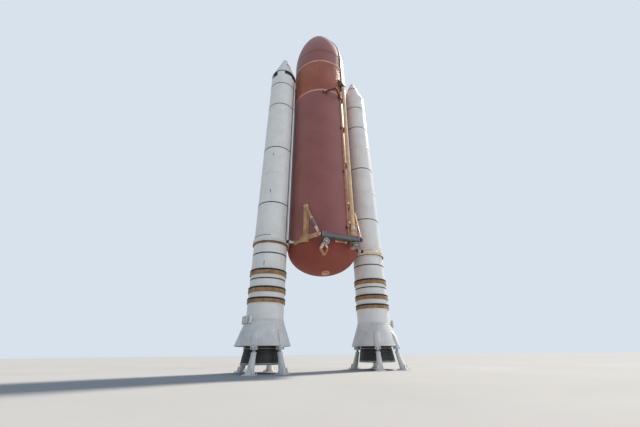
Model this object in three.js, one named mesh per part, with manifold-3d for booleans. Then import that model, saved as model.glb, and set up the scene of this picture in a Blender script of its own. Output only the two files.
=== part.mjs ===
// A tenth-size display stack: a large propellant tank between two solid boosters, on eight posts.
// Sizes are inches of the full-size vehicle, and stations count down from above its nose, as its
// builders count them. Azimuths are degrees from the front (-Y) towards the right (+X).
import * as THREE from 'three';
import { mergeVertices } from 'three/addons/utils/BufferGeometryUtils.js';
import Module from 'manifold-3d';

const wasm = await Module();
wasm.setup();

// Scale and clearances
const MODEL = 25.4 / 10;          // millimetres of the model in an inch of the vehicle
const GAP = 0.3 / MODEL;          // between pieces that touch
const RUNNING_GAP = 0.95 / MODEL; // between the spherical shells of a nozzle's bearing
const SETBACK = 22;              // the tank's axis stands this far behind the middle of the floor box

// Heights: a station becomes a height above the floor
const POST_HEIGHT = 88;
const SKIRT_STATION = 1930;
const TANK_STATION_SHIFT = 543.2;
const boosterZ = (station) => POST_HEIGHT + SKIRT_STATION - station;
const tankZ = (station) => boosterZ(station - TANK_STATION_SHIFT);

// Tank
const TANK_RADIUS = 166.5;
const TANK_SIDES = 48;
const NOSE_TIP = 322.5;
const NOSE_BASE = 371;
const OGIVE_END = 745;
const OGIVE_RADIUS = 612;
const FORWARD_FLANGE = 852.8;
const AFT_FLANGE = 1123.15;
const FLANGE_BAND = 12;
const FLANGE_RISE = 1.9;
const DOME_TOP = 2058;
const DOME_DEPTH = 118;
const DOME_RADIUS = 165.6;
const RIBS = 72;
const RIB_RISE = 1.5;

// Lines that run down the tank
const FEEDLINE = { azimuth: 29, radius: 9.5, away: 181, bottom: 2044 };
const FEEDLINE_BRACKETS = [1145, 1377, 1624, 1871, 1973];
const TRAY = { azimuth: 22, width: 9, rise: 5, top: 1154 };
const NOSE_TRAY = { azimuth: 32.5, top: 395 };
const FAIRING = { azimuth: 27, width: 52, proud: 2, slope: 18, lip: 6, top: 988, bottom: 1040 };

// What holds the flying vehicle's third part: the bipod, the aft frames and the crossbeam
const BIPOD = { station: 1142, facing: 4, spread: 17, apex: 208, radius: 5 };
const LONGERON = { azimuth: 47, width: 25, rise: 9, top: 1888, bottom: 2072 };
const GUSSET = { azimuth: 50, width: 36, height: 46, rise: 5 };
const RING_BLOCKS = { azimuths: [53, 63], width: 32, height: 14, rise: 6 };
const BALL = { side: 96.5, out: 204, station: 2065, radius: 9 };
const CROSSBEAM = { depth: 18, height: 22 };
const UMBILICAL = { side: 68, out: 204, station: 2095, radius: 13, length: 18 };

// Boosters
const BOOSTER_OFFSET = 250.5;
const BOOSTER_RADIUS = 73;
const BOOSTER_SIDES = 28;
const CAP_TIP = 200;
const CAP_BASE = 275;
const CAP_RADIUS = 34;
const FRUSTUM_BASE = 397;
const FORWARD_SKIRT_BASE = 520;
const SEGMENTS = [
  ['forward_segment', 520, 851.5],
  ['forward_center_segment', 851.5, 1171.5],
  ['aft_center_segment', 1171.5, 1491.5],
];
const AFT_SEGMENT = { top: 1491.5, bottom: 1837 };
const JOINT_BAND = 7;
const JOINT_RISE = 0.9;
const ATTACH_RING = { top: 1511, bottom: 1530, rise: 6 };
// station of the upper edge, height and rise of each stiffener
const STIFFENERS = [
  [1647, 20, 3.5],
  [1718, 19, 3.5],
  [1760, 17, 3.5],
];
const TUNNEL = { azimuths: { left: 52, right: -128 }, width: 11, rise: 5, top: 452, bottom: 1508 };
const THRUST_FITTING = { station: 985.7, radius: 14, split: 172.6 };
const AFT_STRUT = { offsets: { front: -52, back: 52 }, radius: 5, station: 2056 };
// the two hydrogen lines from the left umbilical to the dome: radius, then [side, out, station] of each point
const HYDROGEN_LINES = [
  [6.5, [[68, 195, 2095], [68, 178, 2095], [71, 150, 2109], [43, 128, 2123]]],
  [4.5, [[60, 195, 2095], [60, 178, 2095], [38, 152, 2102], [41, 128, 2123]]],
];

// Aft skirt, nozzle and posts
const SKIRT = { top: 1837, topRadius: 73.6, bottomRadius: 105, wall: 2.4 };
const MOTORS = { azimuths: [51, 65, 79, 93], away: 82, radius: 5.6, above: 12, below: 16 };
const CURTAIN = { station: 1888, thickness: 4, sag: 9, hole: 69.5 };
const PIVOT = 1843;
const SOCKET_RADIUS = 26;
const SOCKET_STEPS = 9;
const BEARING_WALL = 4;
const NOZZLE_WALL = 2.6;
// station and inner radius down the bell, from the throat to the lip
const BELL = [[1849, 27], [1860, 33], [1876, 43], [1900, 53.5], [1940, 66], [1990, 74.8]];
const POST_AZIMUTHS = { front_out: 28, front_in: -28, back_out: 152, back_in: -152 };
const POST = {
  away: 98, shoe: 22, shoeHeight: 12, boltRadius: 4.5, boltHeight: 8,
  topRadius: 8, bottomRadius: 14, lean: 21, plate: 42, plateHeight: 3,
};
const FOOT = { inner: 89, outer: 109, heel: 6, shoulder: 12, top: 28, width: 18 };

const paint = (color, roughness, metalness = 0) =>
  new THREE.MeshStandardMaterial({ color, roughness, metalness });
const LOOKS = {
  foam: paint(0x9c5848, 0.9),
  ribbedFoam: paint(0x8f5040, 0.9),
  domeFoam: paint(0x7a4038, 0.9),
  closeoutFoam: paint(0xc99070, 0.9),
  tan: paint(0xb8895a, 0.85),
  white: paint(0xcfd1d0, 0.5),
  ablator: paint(0xb08355, 0.85),
  darkSteel: paint(0x454e54, 0.5, 0.6),
  steel: paint(0xa8a9a6, 0.4, 0.8),
  carbon: paint(0x2e2c2b, 0.7),
  curtain: paint(0x8f8b80, 0.9),
};

const radians = THREE.MathUtils.degToRad;

// Shapes

// turned about the vertical axis, from rows of [radius, height] that go out, up and back in
function turned(rows, sides) {
  const points = rows.map(([radius, height]) => new THREE.Vector2(radius, height));
  return new THREE.LatheGeometry(points, sides).rotateX(Math.PI / 2);
}

function block(size, centre) {
  return new THREE.BoxGeometry(...size).translate(...centre);
}

function bar(from, to, radius, sides = 10, endRadius = radius) {
  const start = new THREE.Vector3(...from);
  const end = new THREE.Vector3(...to);
  const run = end.clone().sub(start);
  const up = new THREE.Vector3(0, 1, 0);
  const turn = new THREE.Quaternion().setFromUnitVectors(up, run.clone().normalize());
  const shape = new THREE.CylinderGeometry(endRadius, radius, run.length(), sides);
  shape.applyQuaternion(turn);
  return shape.translate(...start.add(end).multiplyScalar(0.5).toArray());
}

// a side view of [distance out, height] points, as wide as given, facing the azimuth
function profileBlock(points, width, azimuth) {
  const shape = new THREE.Shape(points.map(([out, height]) => new THREE.Vector2(out, height)));
  const solidShape = new THREE.ExtrudeGeometry(shape, { depth: width, bevelEnabled: false });
  solidShape.translate(0, 0, -width / 2);
  solidShape.rotateX(Math.PI / 2);
  solidShape.rotateZ(radians(azimuth - 90));
  return solidShape;
}

// a pipe's route through points, one section at each, so that a straight run costs no faces
class Route extends THREE.Curve {
  constructor(points) {
    super();
    this.points = points;
  }

  getUtoTmapping(u) {
    return u;
  }

  getPoint(t) {
    return this.points[Math.round(t * (this.points.length - 1))].clone();
  }

  getTangent(t) {
    const last = this.points.length - 1;
    const here = Math.round(t * last);
    const tangent = new THREE.Vector3();
    if (here > 0) tangent.add(this.points[here].clone().sub(this.points[here - 1]).normalize());
    if (here < last) tangent.add(this.points[here + 1].clone().sub(this.points[here]).normalize());
    return tangent.normalize();
  }
}

// corner points with the inner ones rounded off
function rounded(corners, reach, steps) {
  const points = corners.map((corner) => new THREE.Vector3(...corner));
  const route = [points[0]];
  for (let i = 1; i < points.length - 1; i += 1) {
    const before = points[i].clone().add(points[i - 1].clone().sub(points[i]).setLength(reach));
    const after = points[i].clone().add(points[i + 1].clone().sub(points[i]).setLength(reach));
    const arc = new THREE.QuadraticBezierCurve3(before, points[i], after);
    route.push(...arc.getPoints(steps));
  }
  route.push(points[points.length - 1]);
  return route;
}

function pipe(route, radius, sides) {
  const section = new THREE.Shape();
  for (let i = 0; i < sides; i += 1) {
    const angle = (2 * Math.PI * i) / sides;
    section[i === 0 ? 'moveTo' : 'lineTo'](radius * Math.cos(angle), radius * Math.sin(angle));
  }
  const settings = { steps: route.length - 1, bevelEnabled: false, extrudePath: new Route(route) };
  return new THREE.ExtrudeGeometry(section, settings);
}

// Joining and cutting

function solid(geometry) {
  const bare = geometry.clone();
  bare.deleteAttribute('normal');
  bare.deleteAttribute('uv');
  const merged = mergeVertices(bare, 1e-3);
  const triangles = [];
  const index = merged.index.array;
  for (let i = 0; i < index.length; i += 3) {
    const [a, b, c] = [index[i], index[i + 1], index[i + 2]];
    if (a !== b && b !== c && c !== a) triangles.push(a, b, c);
  }
  const vertProperties = new Float32Array(merged.attributes.position.array);
  const mesh = new wasm.Mesh({ numProp: 3, vertProperties, triVerts: new Uint32Array(triangles) });
  return new wasm.Manifold(mesh);
}

function join(...shapes) {
  return shapes.map(solid).reduce((whole, piece) => whole.add(piece));
}

function cut(whole, ...tools) {
  const cutters = tools.map((tool) => (tool instanceof THREE.BufferGeometry ? solid(tool) : tool));
  return cutters.reduce((left, cutter) => left.subtract(cutter), whole);
}

function shapeOf(manifold) {
  const mesh = manifold.getMesh();
  const shape = new THREE.BufferGeometry();
  shape.setAttribute('position', new THREE.BufferAttribute(new Float32Array(mesh.vertProperties), 3));
  shape.setIndex(new THREE.BufferAttribute(new Uint32Array(mesh.triVerts), 1));
  shape.computeVertexNormals();
  return shape;
}

function place(group, name, shape, look) {
  const geometry = shape instanceof THREE.BufferGeometry ? shape : shapeOf(shape);
  geometry.scale(MODEL, MODEL, MODEL);
  const mesh = new THREE.Mesh(geometry, LOOKS[look]);
  mesh.name = name;
  group.add(mesh);
}

const onTank = (azimuth, away, height) => [
  away * Math.sin(radians(azimuth)),
  -away * Math.cos(radians(azimuth)),
  height,
];

// Tank outline

function ogiveRadius(station) {
  const drop = Math.max(0, OGIVE_END - station);
  return Math.sqrt(OGIVE_RADIUS ** 2 - drop ** 2) - (OGIVE_RADIUS - TANK_RADIUS);
}

// rows of [radius, height] up the ogive between two stations, grown by a little
function ogiveRows(bottom, top, grown, steps) {
  const rows = [];
  for (let i = 0; i <= steps; i += 1) {
    const station = bottom + ((top - bottom) * i) / steps;
    rows.push([ogiveRadius(station) + grown, tankZ(station)]);
  }
  return rows;
}

const OGIVE_STEPS = 9;
const BAND_RADIUS = TANK_RADIUS + FLANGE_RISE;
const RIB_RADIUS = TANK_RADIUS + 0.9;
const RIB_SEAT_SIDES = 144;
const INTERTANK_TOP = FORWARD_FLANGE + FLANGE_BAND / 2;
const INTERTANK_BOTTOM = AFT_FLANGE - FLANGE_BAND / 2;

// the tank grown by the gap, to seat on it what it carries
function tankEnvelope() {
  const barrels = turned([
    [0, tankZ(DOME_TOP)],
    [TANK_RADIUS + GAP, tankZ(DOME_TOP)],
    [TANK_RADIUS + GAP, tankZ(AFT_FLANGE + FLANGE_BAND / 2) - GAP],
    [BAND_RADIUS + GAP, tankZ(AFT_FLANGE + FLANGE_BAND / 2) - GAP],
    [BAND_RADIUS + GAP, tankZ(INTERTANK_BOTTOM) + GAP],
    [TANK_RADIUS - 2, tankZ(INTERTANK_BOTTOM) + GAP],
    [TANK_RADIUS - 2, tankZ(INTERTANK_TOP) - GAP],
    [BAND_RADIUS + GAP, tankZ(INTERTANK_TOP) - GAP],
    [BAND_RADIUS + GAP, tankZ(FORWARD_FLANGE - FLANGE_BAND / 2) + GAP],
    [TANK_RADIUS + GAP, tankZ(FORWARD_FLANGE - FLANGE_BAND / 2) + GAP],
    ...ogiveRows(OGIVE_END, NOSE_BASE, GAP, OGIVE_STEPS),
    [0, tankZ(NOSE_BASE)],
  ], TANK_SIDES);
  const seat = RIB_RADIUS / Math.cos(Math.PI / RIB_SEAT_SIDES) + GAP;
  const ribs = turned([
    [0, tankZ(INTERTANK_BOTTOM)],
    [seat, tankZ(INTERTANK_BOTTOM)],
    [seat, tankZ(INTERTANK_TOP)],
    [0, tankZ(INTERTANK_TOP)],
  ], RIB_SEAT_SIDES);
  return join(barrels, ribs);
}

function domeRows(grown, steps) {
  const rows = [];
  for (let i = 0; i <= steps; i += 1) {
    const angle = (Math.PI / 2) * (1 - i / steps);
    const drop = (DOME_DEPTH + grown) * Math.sin(angle);
    rows.push([(DOME_RADIUS + grown) * Math.cos(angle), tankZ(DOME_TOP) - GAP - drop]);
  }
  rows[0][0] = 0;
  return rows;
}

const stack = new THREE.Group();
stack.position.y = SETBACK * MODEL;

// Tank, from the nose down

place(stack, 'tank_nose_cone', turned([
  [0, tankZ(NOSE_BASE) + GAP],
  [ogiveRadius(NOSE_BASE) - 1, tankZ(NOSE_BASE) + GAP],
  [11, tankZ(338)],
  [5, tankZ(328)],
  [1.5, tankZ(NOSE_TIP)],
  [0, tankZ(NOSE_TIP)],
], 20), 'closeoutFoam');

place(stack, 'oxygen_tank', turned([
  [0, tankZ(INTERTANK_TOP)],
  [BAND_RADIUS, tankZ(INTERTANK_TOP)],
  [BAND_RADIUS, tankZ(FORWARD_FLANGE - FLANGE_BAND / 2)],
  [TANK_RADIUS, tankZ(FORWARD_FLANGE - FLANGE_BAND / 2)],
  ...ogiveRows(OGIVE_END, NOSE_BASE, 0, OGIVE_STEPS),
  [0, tankZ(NOSE_BASE)],
], TANK_SIDES), 'foam');

// the intertank's skin and its upright stringers in one outline
function ribbedOutline() {
  const pitch = (2 * Math.PI) / RIBS;
  const points = [];
  for (let i = 0; i < RIBS; i += 1) {
    for (const [along, rise] of [[-0.28, 0], [-0.18, RIB_RISE], [0.18, RIB_RISE], [0.28, 0]]) {
      const angle = (i + along) * pitch;
      const radius = RIB_RADIUS - RIB_RISE + rise;
      points.push(new THREE.Vector2(radius * Math.cos(angle), radius * Math.sin(angle)));
    }
  }
  return new THREE.Shape(points);
}

const intertankHeight = INTERTANK_BOTTOM - INTERTANK_TOP - 2 * GAP;
const ribbed = { depth: intertankHeight, bevelEnabled: false };
const intertank = new THREE.ExtrudeGeometry(ribbedOutline(), ribbed);
place(stack, 'intertank', intertank.translate(0, 0, tankZ(INTERTANK_BOTTOM) + GAP), 'ribbedFoam');

place(stack, 'hydrogen_tank', turned([
  [0, tankZ(DOME_TOP)],
  [TANK_RADIUS, tankZ(DOME_TOP)],
  [TANK_RADIUS, tankZ(AFT_FLANGE + FLANGE_BAND / 2)],
  [BAND_RADIUS, tankZ(AFT_FLANGE + FLANGE_BAND / 2)],
  [BAND_RADIUS, tankZ(INTERTANK_BOTTOM)],
  [0, tankZ(INTERTANK_BOTTOM)],
], TANK_SIDES), 'foam');

place(stack, 'tank_aft_dome', turned([
  ...domeRows(0, 7),
  [0, tankZ(DOME_TOP) - GAP],
], TANK_SIDES), 'domeFoam');

const coverTop = tankZ(DOME_TOP + DOME_DEPTH * 0.93);
const coverBottom = tankZ(DOME_TOP + DOME_DEPTH + 3);
const domeEnvelope = turned([...domeRows(GAP, 7), [0, tankZ(DOME_TOP)]], TANK_SIDES);
const cover = cut(join(bar([0, -34, coverTop], [0, -36, coverBottom], 19, 20)), domeEnvelope);
place(stack, 'aft_manhole_cover', cover, 'closeoutFoam');

// Lines down the tank

const envelope = tankEnvelope();
const feedlineSpot = (away, height) => onTank(FEEDLINE.azimuth, away, height);
const disconnect = [UMBILICAL.side, -UMBILICAL.out + UMBILICAL.length / 2, tankZ(UMBILICAL.station)];
const feedline = pipe(rounded([
  feedlineSpot(FEEDLINE.away, tankZ(FAIRING.bottom) - GAP),
  feedlineSpot(FEEDLINE.away, tankZ(FEEDLINE.bottom)),
  [disconnect[0], disconnect[1] + 23, disconnect[2]],
  [disconnect[0], disconnect[1] + GAP, disconnect[2]],
], 9, 3), FEEDLINE.radius, 12);
const bracketBlocks = FEEDLINE_BRACKETS.map((station) => {
  const inside = TANK_RADIUS - 4;
  const outside = FEEDLINE.away;
  const shape = block([16, outside - inside, 7], [0, -(inside + outside) / 2, tankZ(station)]);
  return shape.rotateZ(radians(FEEDLINE.azimuth));
});
place(stack, 'oxygen_feedline', cut(join(feedline, ...bracketBlocks), envelope), 'tan');

// a hump that leans back to the skin at both ends, over the place where the feedline comes out
const fairingRows = [
  [TANK_RADIUS - 5, tankZ(FAIRING.bottom)],
  [FEEDLINE.away + FEEDLINE.radius + FAIRING.proud, tankZ(FAIRING.bottom)],
  [FEEDLINE.away + FEEDLINE.radius + FAIRING.proud, tankZ(FAIRING.bottom - FAIRING.slope)],
  [TANK_RADIUS + FAIRING.lip, tankZ(FAIRING.top)],
  [TANK_RADIUS - 5, tankZ(FAIRING.top)],
];
const fairing = cut(join(profileBlock(fairingRows, FAIRING.width, FAIRING.azimuth)), envelope);
place(stack, 'feedline_fairing', fairing, 'tan');

const noseTrayFoot = tankZ(FAIRING.top) + GAP;
const noseTrayOuter = ogiveRows(OGIVE_END, NOSE_TRAY.top, TRAY.rise, OGIVE_STEPS);
const noseTrayInner = ogiveRows(NOSE_TRAY.top, OGIVE_END, -4, OGIVE_STEPS);
const noseTray = cut(join(profileBlock([
  [TANK_RADIUS + TRAY.rise, noseTrayFoot],
  ...noseTrayOuter,
  ...noseTrayInner,
  [TANK_RADIUS - 4, noseTrayFoot],
], TRAY.width, NOSE_TRAY.azimuth)), envelope);
place(stack, 'nose_cable_tray', noseTray, 'tan');

const trayHeight = FEEDLINE.bottom - TRAY.top;
const trayMiddle = tankZ((FEEDLINE.bottom + TRAY.top) / 2);
const trayAway = TANK_RADIUS + TRAY.rise / 2 - 3;
const tray = block([TRAY.width, TRAY.rise + 6, trayHeight], [0, -trayAway, trayMiddle]);
place(stack, 'aft_cable_tray', cut(join(tray.rotateZ(radians(TRAY.azimuth))), envelope), 'tan');

// Bipod: two legs from the tank to one yoke

const bipodZ = tankZ(BIPOD.station);
const apex = onTank(BIPOD.facing, BIPOD.apex, bipodZ);
const bipodShapes = [block([16, 10, 12], apex)];
for (const side of [-1, 1]) {
  const azimuth = BIPOD.facing + side * BIPOD.spread;
  const foot = onTank(azimuth, TANK_RADIUS + 3, bipodZ);
  const heel = onTank(azimuth, TANK_RADIUS - 3, bipodZ);
  bipodShapes.push(bar(foot, [apex[0] + side * 4, apex[1], bipodZ], BIPOD.radius, 8));
  bipodShapes.push(bar(heel, onTank(azimuth, TANK_RADIUS + 8, bipodZ), 8, 8));
}
place(stack, 'bipod', cut(join(...bipodShapes), envelope), 'tan');

// Aft frames: a longeron down the skin, a gusset and ring blocks at its foot, and two struts to the ball

for (const [hand, side] of [['left', -1], ['right', 1]]) {
  const ball = [side * BALL.side, -BALL.out, tankZ(BALL.station)];
  const shoulder = onTank(side * LONGERON.azimuth, TANK_RADIUS + 5, tankZ(LONGERON.top + 10));
  const root = onTank(side * (LONGERON.azimuth - 2), TANK_RADIUS + 1, tankZ(BALL.station - 14));
  const middle = tankZ((LONGERON.top + LONGERON.bottom) / 2);
  const length = LONGERON.bottom - LONGERON.top;
  const depth = LONGERON.rise + 6;
  const longeron = block([LONGERON.width, depth, length], [0, -(TANK_RADIUS - 6 + depth / 2), middle]);
  longeron.rotateZ(radians(side * LONGERON.azimuth));
  const corners = [[0, 0], [side * GUSSET.width, 0], [0, GUSSET.height]];
  const outline = new THREE.Shape(corners.map(([along, up]) => new THREE.Vector2(along, up)));
  const plate = { depth: GUSSET.rise + 8, bevelEnabled: false };
  const gusset = new THREE.ExtrudeGeometry(outline, plate).rotateX(Math.PI / 2);
  gusset.translate(0, -(TANK_RADIUS - 8), tankZ(LONGERON.bottom));
  gusset.rotateZ(radians(side * GUSSET.azimuth));
  const ringBlocks = RING_BLOCKS.azimuths.map((azimuth) => {
    const blockDepth = RING_BLOCKS.rise + 8;
    const blockAway = TANK_RADIUS - 8 + blockDepth / 2;
    const blockMiddle = tankZ(LONGERON.bottom) + RING_BLOCKS.height / 2;
    const shape = block([RING_BLOCKS.width, blockDepth, RING_BLOCKS.height], [0, -blockAway, blockMiddle]);
    return shape.rotateZ(radians(side * azimuth));
  });
  const frame = join(
    longeron,
    gusset,
    ...ringBlocks,
    bar(shoulder, ball, 6, 10, 5),
    bar(root, ball, 12, 10, 7),
    new THREE.SphereGeometry(BALL.radius, 12, 8).translate(...ball),
  );
  place(stack, `aft_frame_${hand}`, cut(frame, envelope, domeEnvelope), 'tan');
}

const beamInner = BALL.side - BALL.radius - GAP;
const beamCentre = [0, -BALL.out, tankZ(BALL.station)];
const beam = block([2 * beamInner, CROSSBEAM.depth, CROSSBEAM.height], beamCentre);
place(stack, 'crossbeam', beam, 'darkSteel');

for (const [hand, side] of [['left', -1], ['right', 1]]) {
  const [x, y, z] = [side * UMBILICAL.side, -UMBILICAL.out, tankZ(UMBILICAL.station)];
  const front = y - UMBILICAL.length / 2;
  const back = y + UMBILICAL.length / 2;
  const hanger = block([12, 10, 14], [x, y, tankZ(BALL.station + 14)]);
  const shapes = [bar([x, front, z], [x, back, z], UMBILICAL.radius, 20), hanger];
  const beamRoom = block([60, 60, CROSSBEAM.height + 2 * GAP], [x, y, tankZ(BALL.station)]);
  place(stack, `umbilical_${hand}`, cut(join(...shapes), beamRoom), 'steel');
}

const hydrogenLines = HYDROGEN_LINES.map(([radius, points]) => {
  const corners = points.map(([x, out, station]) => [-x, -out, tankZ(station)]);
  corners[0][1] += GAP;
  return pipe(rounded(corners, 8, 3), radius, 12);
});
place(stack, 'hydrogen_feedline', cut(join(...hydrogenLines), domeEnvelope), 'tan');

// Boosters

for (const [hand, side] of [['left', -1], ['right', 1]]) {
  const booster = new THREE.Group();
  booster.position.x = side * BOOSTER_OFFSET * MODEL;
  stack.add(booster);
  const add = (name, shape, look) => place(booster, `${hand}_${name}`, shape, look);

  add('nose_cap', turned([
    [0, boosterZ(CAP_BASE) + GAP],
    [CAP_RADIUS, boosterZ(CAP_BASE) + GAP],
    [13.6, boosterZ(CAP_TIP + 12)],
    [8, boosterZ(CAP_TIP + 3.5)],
    [0, boosterZ(CAP_TIP)],
  ], BOOSTER_SIDES), 'white');

  add('frustum', turned([
    [0, boosterZ(FRUSTUM_BASE) + GAP],
    [BOOSTER_RADIUS, boosterZ(FRUSTUM_BASE) + GAP],
    [CAP_RADIUS, boosterZ(CAP_BASE)],
    [0, boosterZ(CAP_BASE)],
  ], BOOSTER_SIDES), 'white');

  // the thrust fitting reaches in towards the tank from the forward skirt
  const fittingZ = tankZ(THRUST_FITTING.station);
  const inner = BOOSTER_OFFSET - THRUST_FITTING.split;
  const postTip = [-side * (inner - GAP / 2), 0, fittingZ];
  const thrustPost = bar([-side * 60, 0, fittingZ], postTip, THRUST_FITTING.radius, 16);
  add('forward_skirt', join(turned([
    [0, boosterZ(FORWARD_SKIRT_BASE) + GAP],
    [BOOSTER_RADIUS, boosterZ(FORWARD_SKIRT_BASE) + GAP],
    [BOOSTER_RADIUS, boosterZ(FRUSTUM_BASE + 9)],
    [BOOSTER_RADIUS + 1.2, boosterZ(FRUSTUM_BASE + 9)],
    [BOOSTER_RADIUS + 1.2, boosterZ(FRUSTUM_BASE)],
    [0, boosterZ(FRUSTUM_BASE)],
  ], BOOSTER_SIDES), thrustPost), 'white');

  for (const [name, top, bottom] of SEGMENTS) {
    add(name, turned([
      [0, boosterZ(bottom) + GAP],
      [BOOSTER_RADIUS + JOINT_RISE, boosterZ(bottom) + GAP],
      [BOOSTER_RADIUS + JOINT_RISE, boosterZ(bottom - JOINT_BAND)],
      [BOOSTER_RADIUS, boosterZ(bottom - JOINT_BAND)],
      [BOOSTER_RADIUS, boosterZ(top)],
      [0, boosterZ(top)],
    ], BOOSTER_SIDES), 'white');
  }

  // the aft segment carries the stiffeners, and ends in the socket of the nozzle's bearing
  const pivotZ = boosterZ(PIVOT);
  const socketRows = [];
  const mouthAngle = Math.acos((boosterZ(AFT_SEGMENT.bottom) - pivotZ) / SOCKET_RADIUS);
  for (let i = 0; i <= SOCKET_STEPS; i += 1) {
    const angle = (mouthAngle * i) / SOCKET_STEPS;
    socketRows.push([SOCKET_RADIUS * Math.sin(angle), pivotZ + SOCKET_RADIUS * Math.cos(angle)]);
  }
  const stiffenerRows = STIFFENERS.toReversed().flatMap(([top, height, rise]) => [
    [BOOSTER_RADIUS, boosterZ(top + height)],
    [BOOSTER_RADIUS + rise, boosterZ(top + height)],
    [BOOSTER_RADIUS + rise, boosterZ(top)],
    [BOOSTER_RADIUS, boosterZ(top)],
  ]);
  add('aft_segment', turned([
    ...socketRows,
    [BOOSTER_RADIUS, boosterZ(AFT_SEGMENT.bottom)],
    ...stiffenerRows,
    [BOOSTER_RADIUS, boosterZ(AFT_SEGMENT.top)],
    [0, boosterZ(AFT_SEGMENT.top)],
  ], BOOSTER_SIDES), 'white');

  const ringOut = BOOSTER_RADIUS + ATTACH_RING.rise;
  const ringIn = BOOSTER_RADIUS + GAP;
  const attachRing = turned([
    [ringIn, boosterZ(ATTACH_RING.bottom)],
    [ringOut, boosterZ(ATTACH_RING.bottom)],
    [ringOut, boosterZ(ATTACH_RING.top)],
    [ringIn, boosterZ(ATTACH_RING.top)],
    [ringIn, boosterZ(ATTACH_RING.bottom)],
  ], BOOSTER_SIDES);
  add('attach_ring', attachRing, 'ablator');

  const casing = turned([
    [0, boosterZ(TUNNEL.bottom + 5)],
    [BOOSTER_RADIUS + JOINT_RISE + GAP, boosterZ(TUNNEL.bottom + 5)],
    [BOOSTER_RADIUS + JOINT_RISE + GAP, boosterZ(TUNNEL.top - 5)],
    [0, boosterZ(TUNNEL.top - 5)],
  ], BOOSTER_SIDES);
  const tunnelDepth = TUNNEL.rise + 5;
  const tunnelAway = BOOSTER_RADIUS - 5 + tunnelDepth / 2;
  const tunnelMiddle = boosterZ((TUNNEL.top + TUNNEL.bottom) / 2);
  const tunnelSize = [TUNNEL.width, tunnelDepth, TUNNEL.bottom - TUNNEL.top];
  const tunnel = block(tunnelSize, [0, -tunnelAway, tunnelMiddle]);
  tunnel.rotateZ(radians(TUNNEL.azimuths[hand]));
  add('systems_tunnel', cut(join(tunnel), casing), 'white');

  // Aft skirt: a flared shell with a foot over each post, and four separation motors on its outer side

  const skirtZ = boosterZ(SKIRT_STATION);
  const topZ = boosterZ(SKIRT.top) - GAP;
  const shell = turned([
    [SKIRT.bottomRadius - SKIRT.wall, skirtZ],
    [SKIRT.bottomRadius, skirtZ],
    [SKIRT.bottomRadius, skirtZ + 5],
    [SKIRT.topRadius, topZ],
    [SKIRT.topRadius - SKIRT.wall, topZ],
    [SKIRT.bottomRadius - SKIRT.wall - 1, skirtZ + 5],
    [SKIRT.bottomRadius - SKIRT.wall, skirtZ],
  ], BOOSTER_SIDES);
  const feet = Object.values(POST_AZIMUTHS).map((azimuth) => {
    const rows = [
      [FOOT.inner, skirtZ],
      [FOOT.outer, skirtZ],
      [FOOT.outer, skirtZ + FOOT.heel],
      [POST.away - 2, skirtZ + FOOT.top],
      [FOOT.inner, skirtZ + FOOT.shoulder],
    ];
    return profileBlock(rows, FOOT.width, side * azimuth);
  });
  const motors = MOTORS.azimuths.map((azimuth) => {
    const upper = [0, -MOTORS.away, topZ + MOTORS.above];
    const lower = [0, -MOTORS.away, topZ - MOTORS.below];
    return bar(lower, upper, MOTORS.radius, 12).rotateZ(radians(side * azimuth));
  });
  add('aft_skirt', join(shell, ...feet, ...motors), 'white');

  const skirtInside = (z) => {
    const top = SKIRT.topRadius - SKIRT.wall;
    const bottom = SKIRT.bottomRadius - SKIRT.wall - 1;
    return top + ((bottom - top) * (topZ - z)) / (topZ - skirtZ - 5) - 1.1 * GAP;
  };
  const curtainZ = boosterZ(CURTAIN.station);
  const curtainFoot = curtainZ - CURTAIN.thickness;
  add('thermal_curtain', turned([
    [CURTAIN.hole, curtainFoot - CURTAIN.sag],
    [skirtInside(curtainFoot), curtainFoot],
    [skirtInside(curtainZ), curtainZ],
    [CURTAIN.hole, curtainZ - CURTAIN.sag],
    [CURTAIN.hole, curtainFoot - CURTAIN.sag],
  ], BOOSTER_SIDES), 'curtain');

  // Nozzle: a ball in a spherical bearing shell, and the bell below it

  const bearingOut = SOCKET_RADIUS - RUNNING_GAP;
  const bearingIn = bearingOut - BEARING_WALL;
  const ballRadius = bearingIn - RUNNING_GAP;
  const arc = (radius, from, to, steps) => {
    const rows = [];
    for (let i = 0; i <= steps; i += 1) {
      const angle = radians(from + ((to - from) * i) / steps);
      rows.push([radius * Math.sin(angle), pivotZ + radius * Math.cos(angle)]);
    }
    return rows;
  };
  add('nozzle_bearing', turned([
    ...arc(bearingIn, 0, 72, SOCKET_STEPS),
    ...arc(bearingOut, 72, 0, SOCKET_STEPS),
  ], BOOSTER_SIDES), 'carbon');

  const bellIn = BELL.map(([station, radius]) => [radius, boosterZ(station)]);
  const bellOut = BELL.slice(2).map(([station, radius]) => [radius + NOZZLE_WALL, boosterZ(station)]);
  bellOut[bellOut.length - 1][0] = BELL[BELL.length - 1][1] + NOZZLE_WALL / 2;
  add('nozzle', turned([
    [0, boosterZ(BELL[0][0])],
    ...bellIn,
    ...bellOut.toReversed(),
    [34, boosterZ(1853)],
    ...arc(ballRadius, 84, 0, SOCKET_STEPS),
  ], BOOSTER_SIDES), 'carbon');

  // Posts: a base plate, a pedestal that leans in from it, the bolt and the shoe under the skirt's foot

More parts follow.
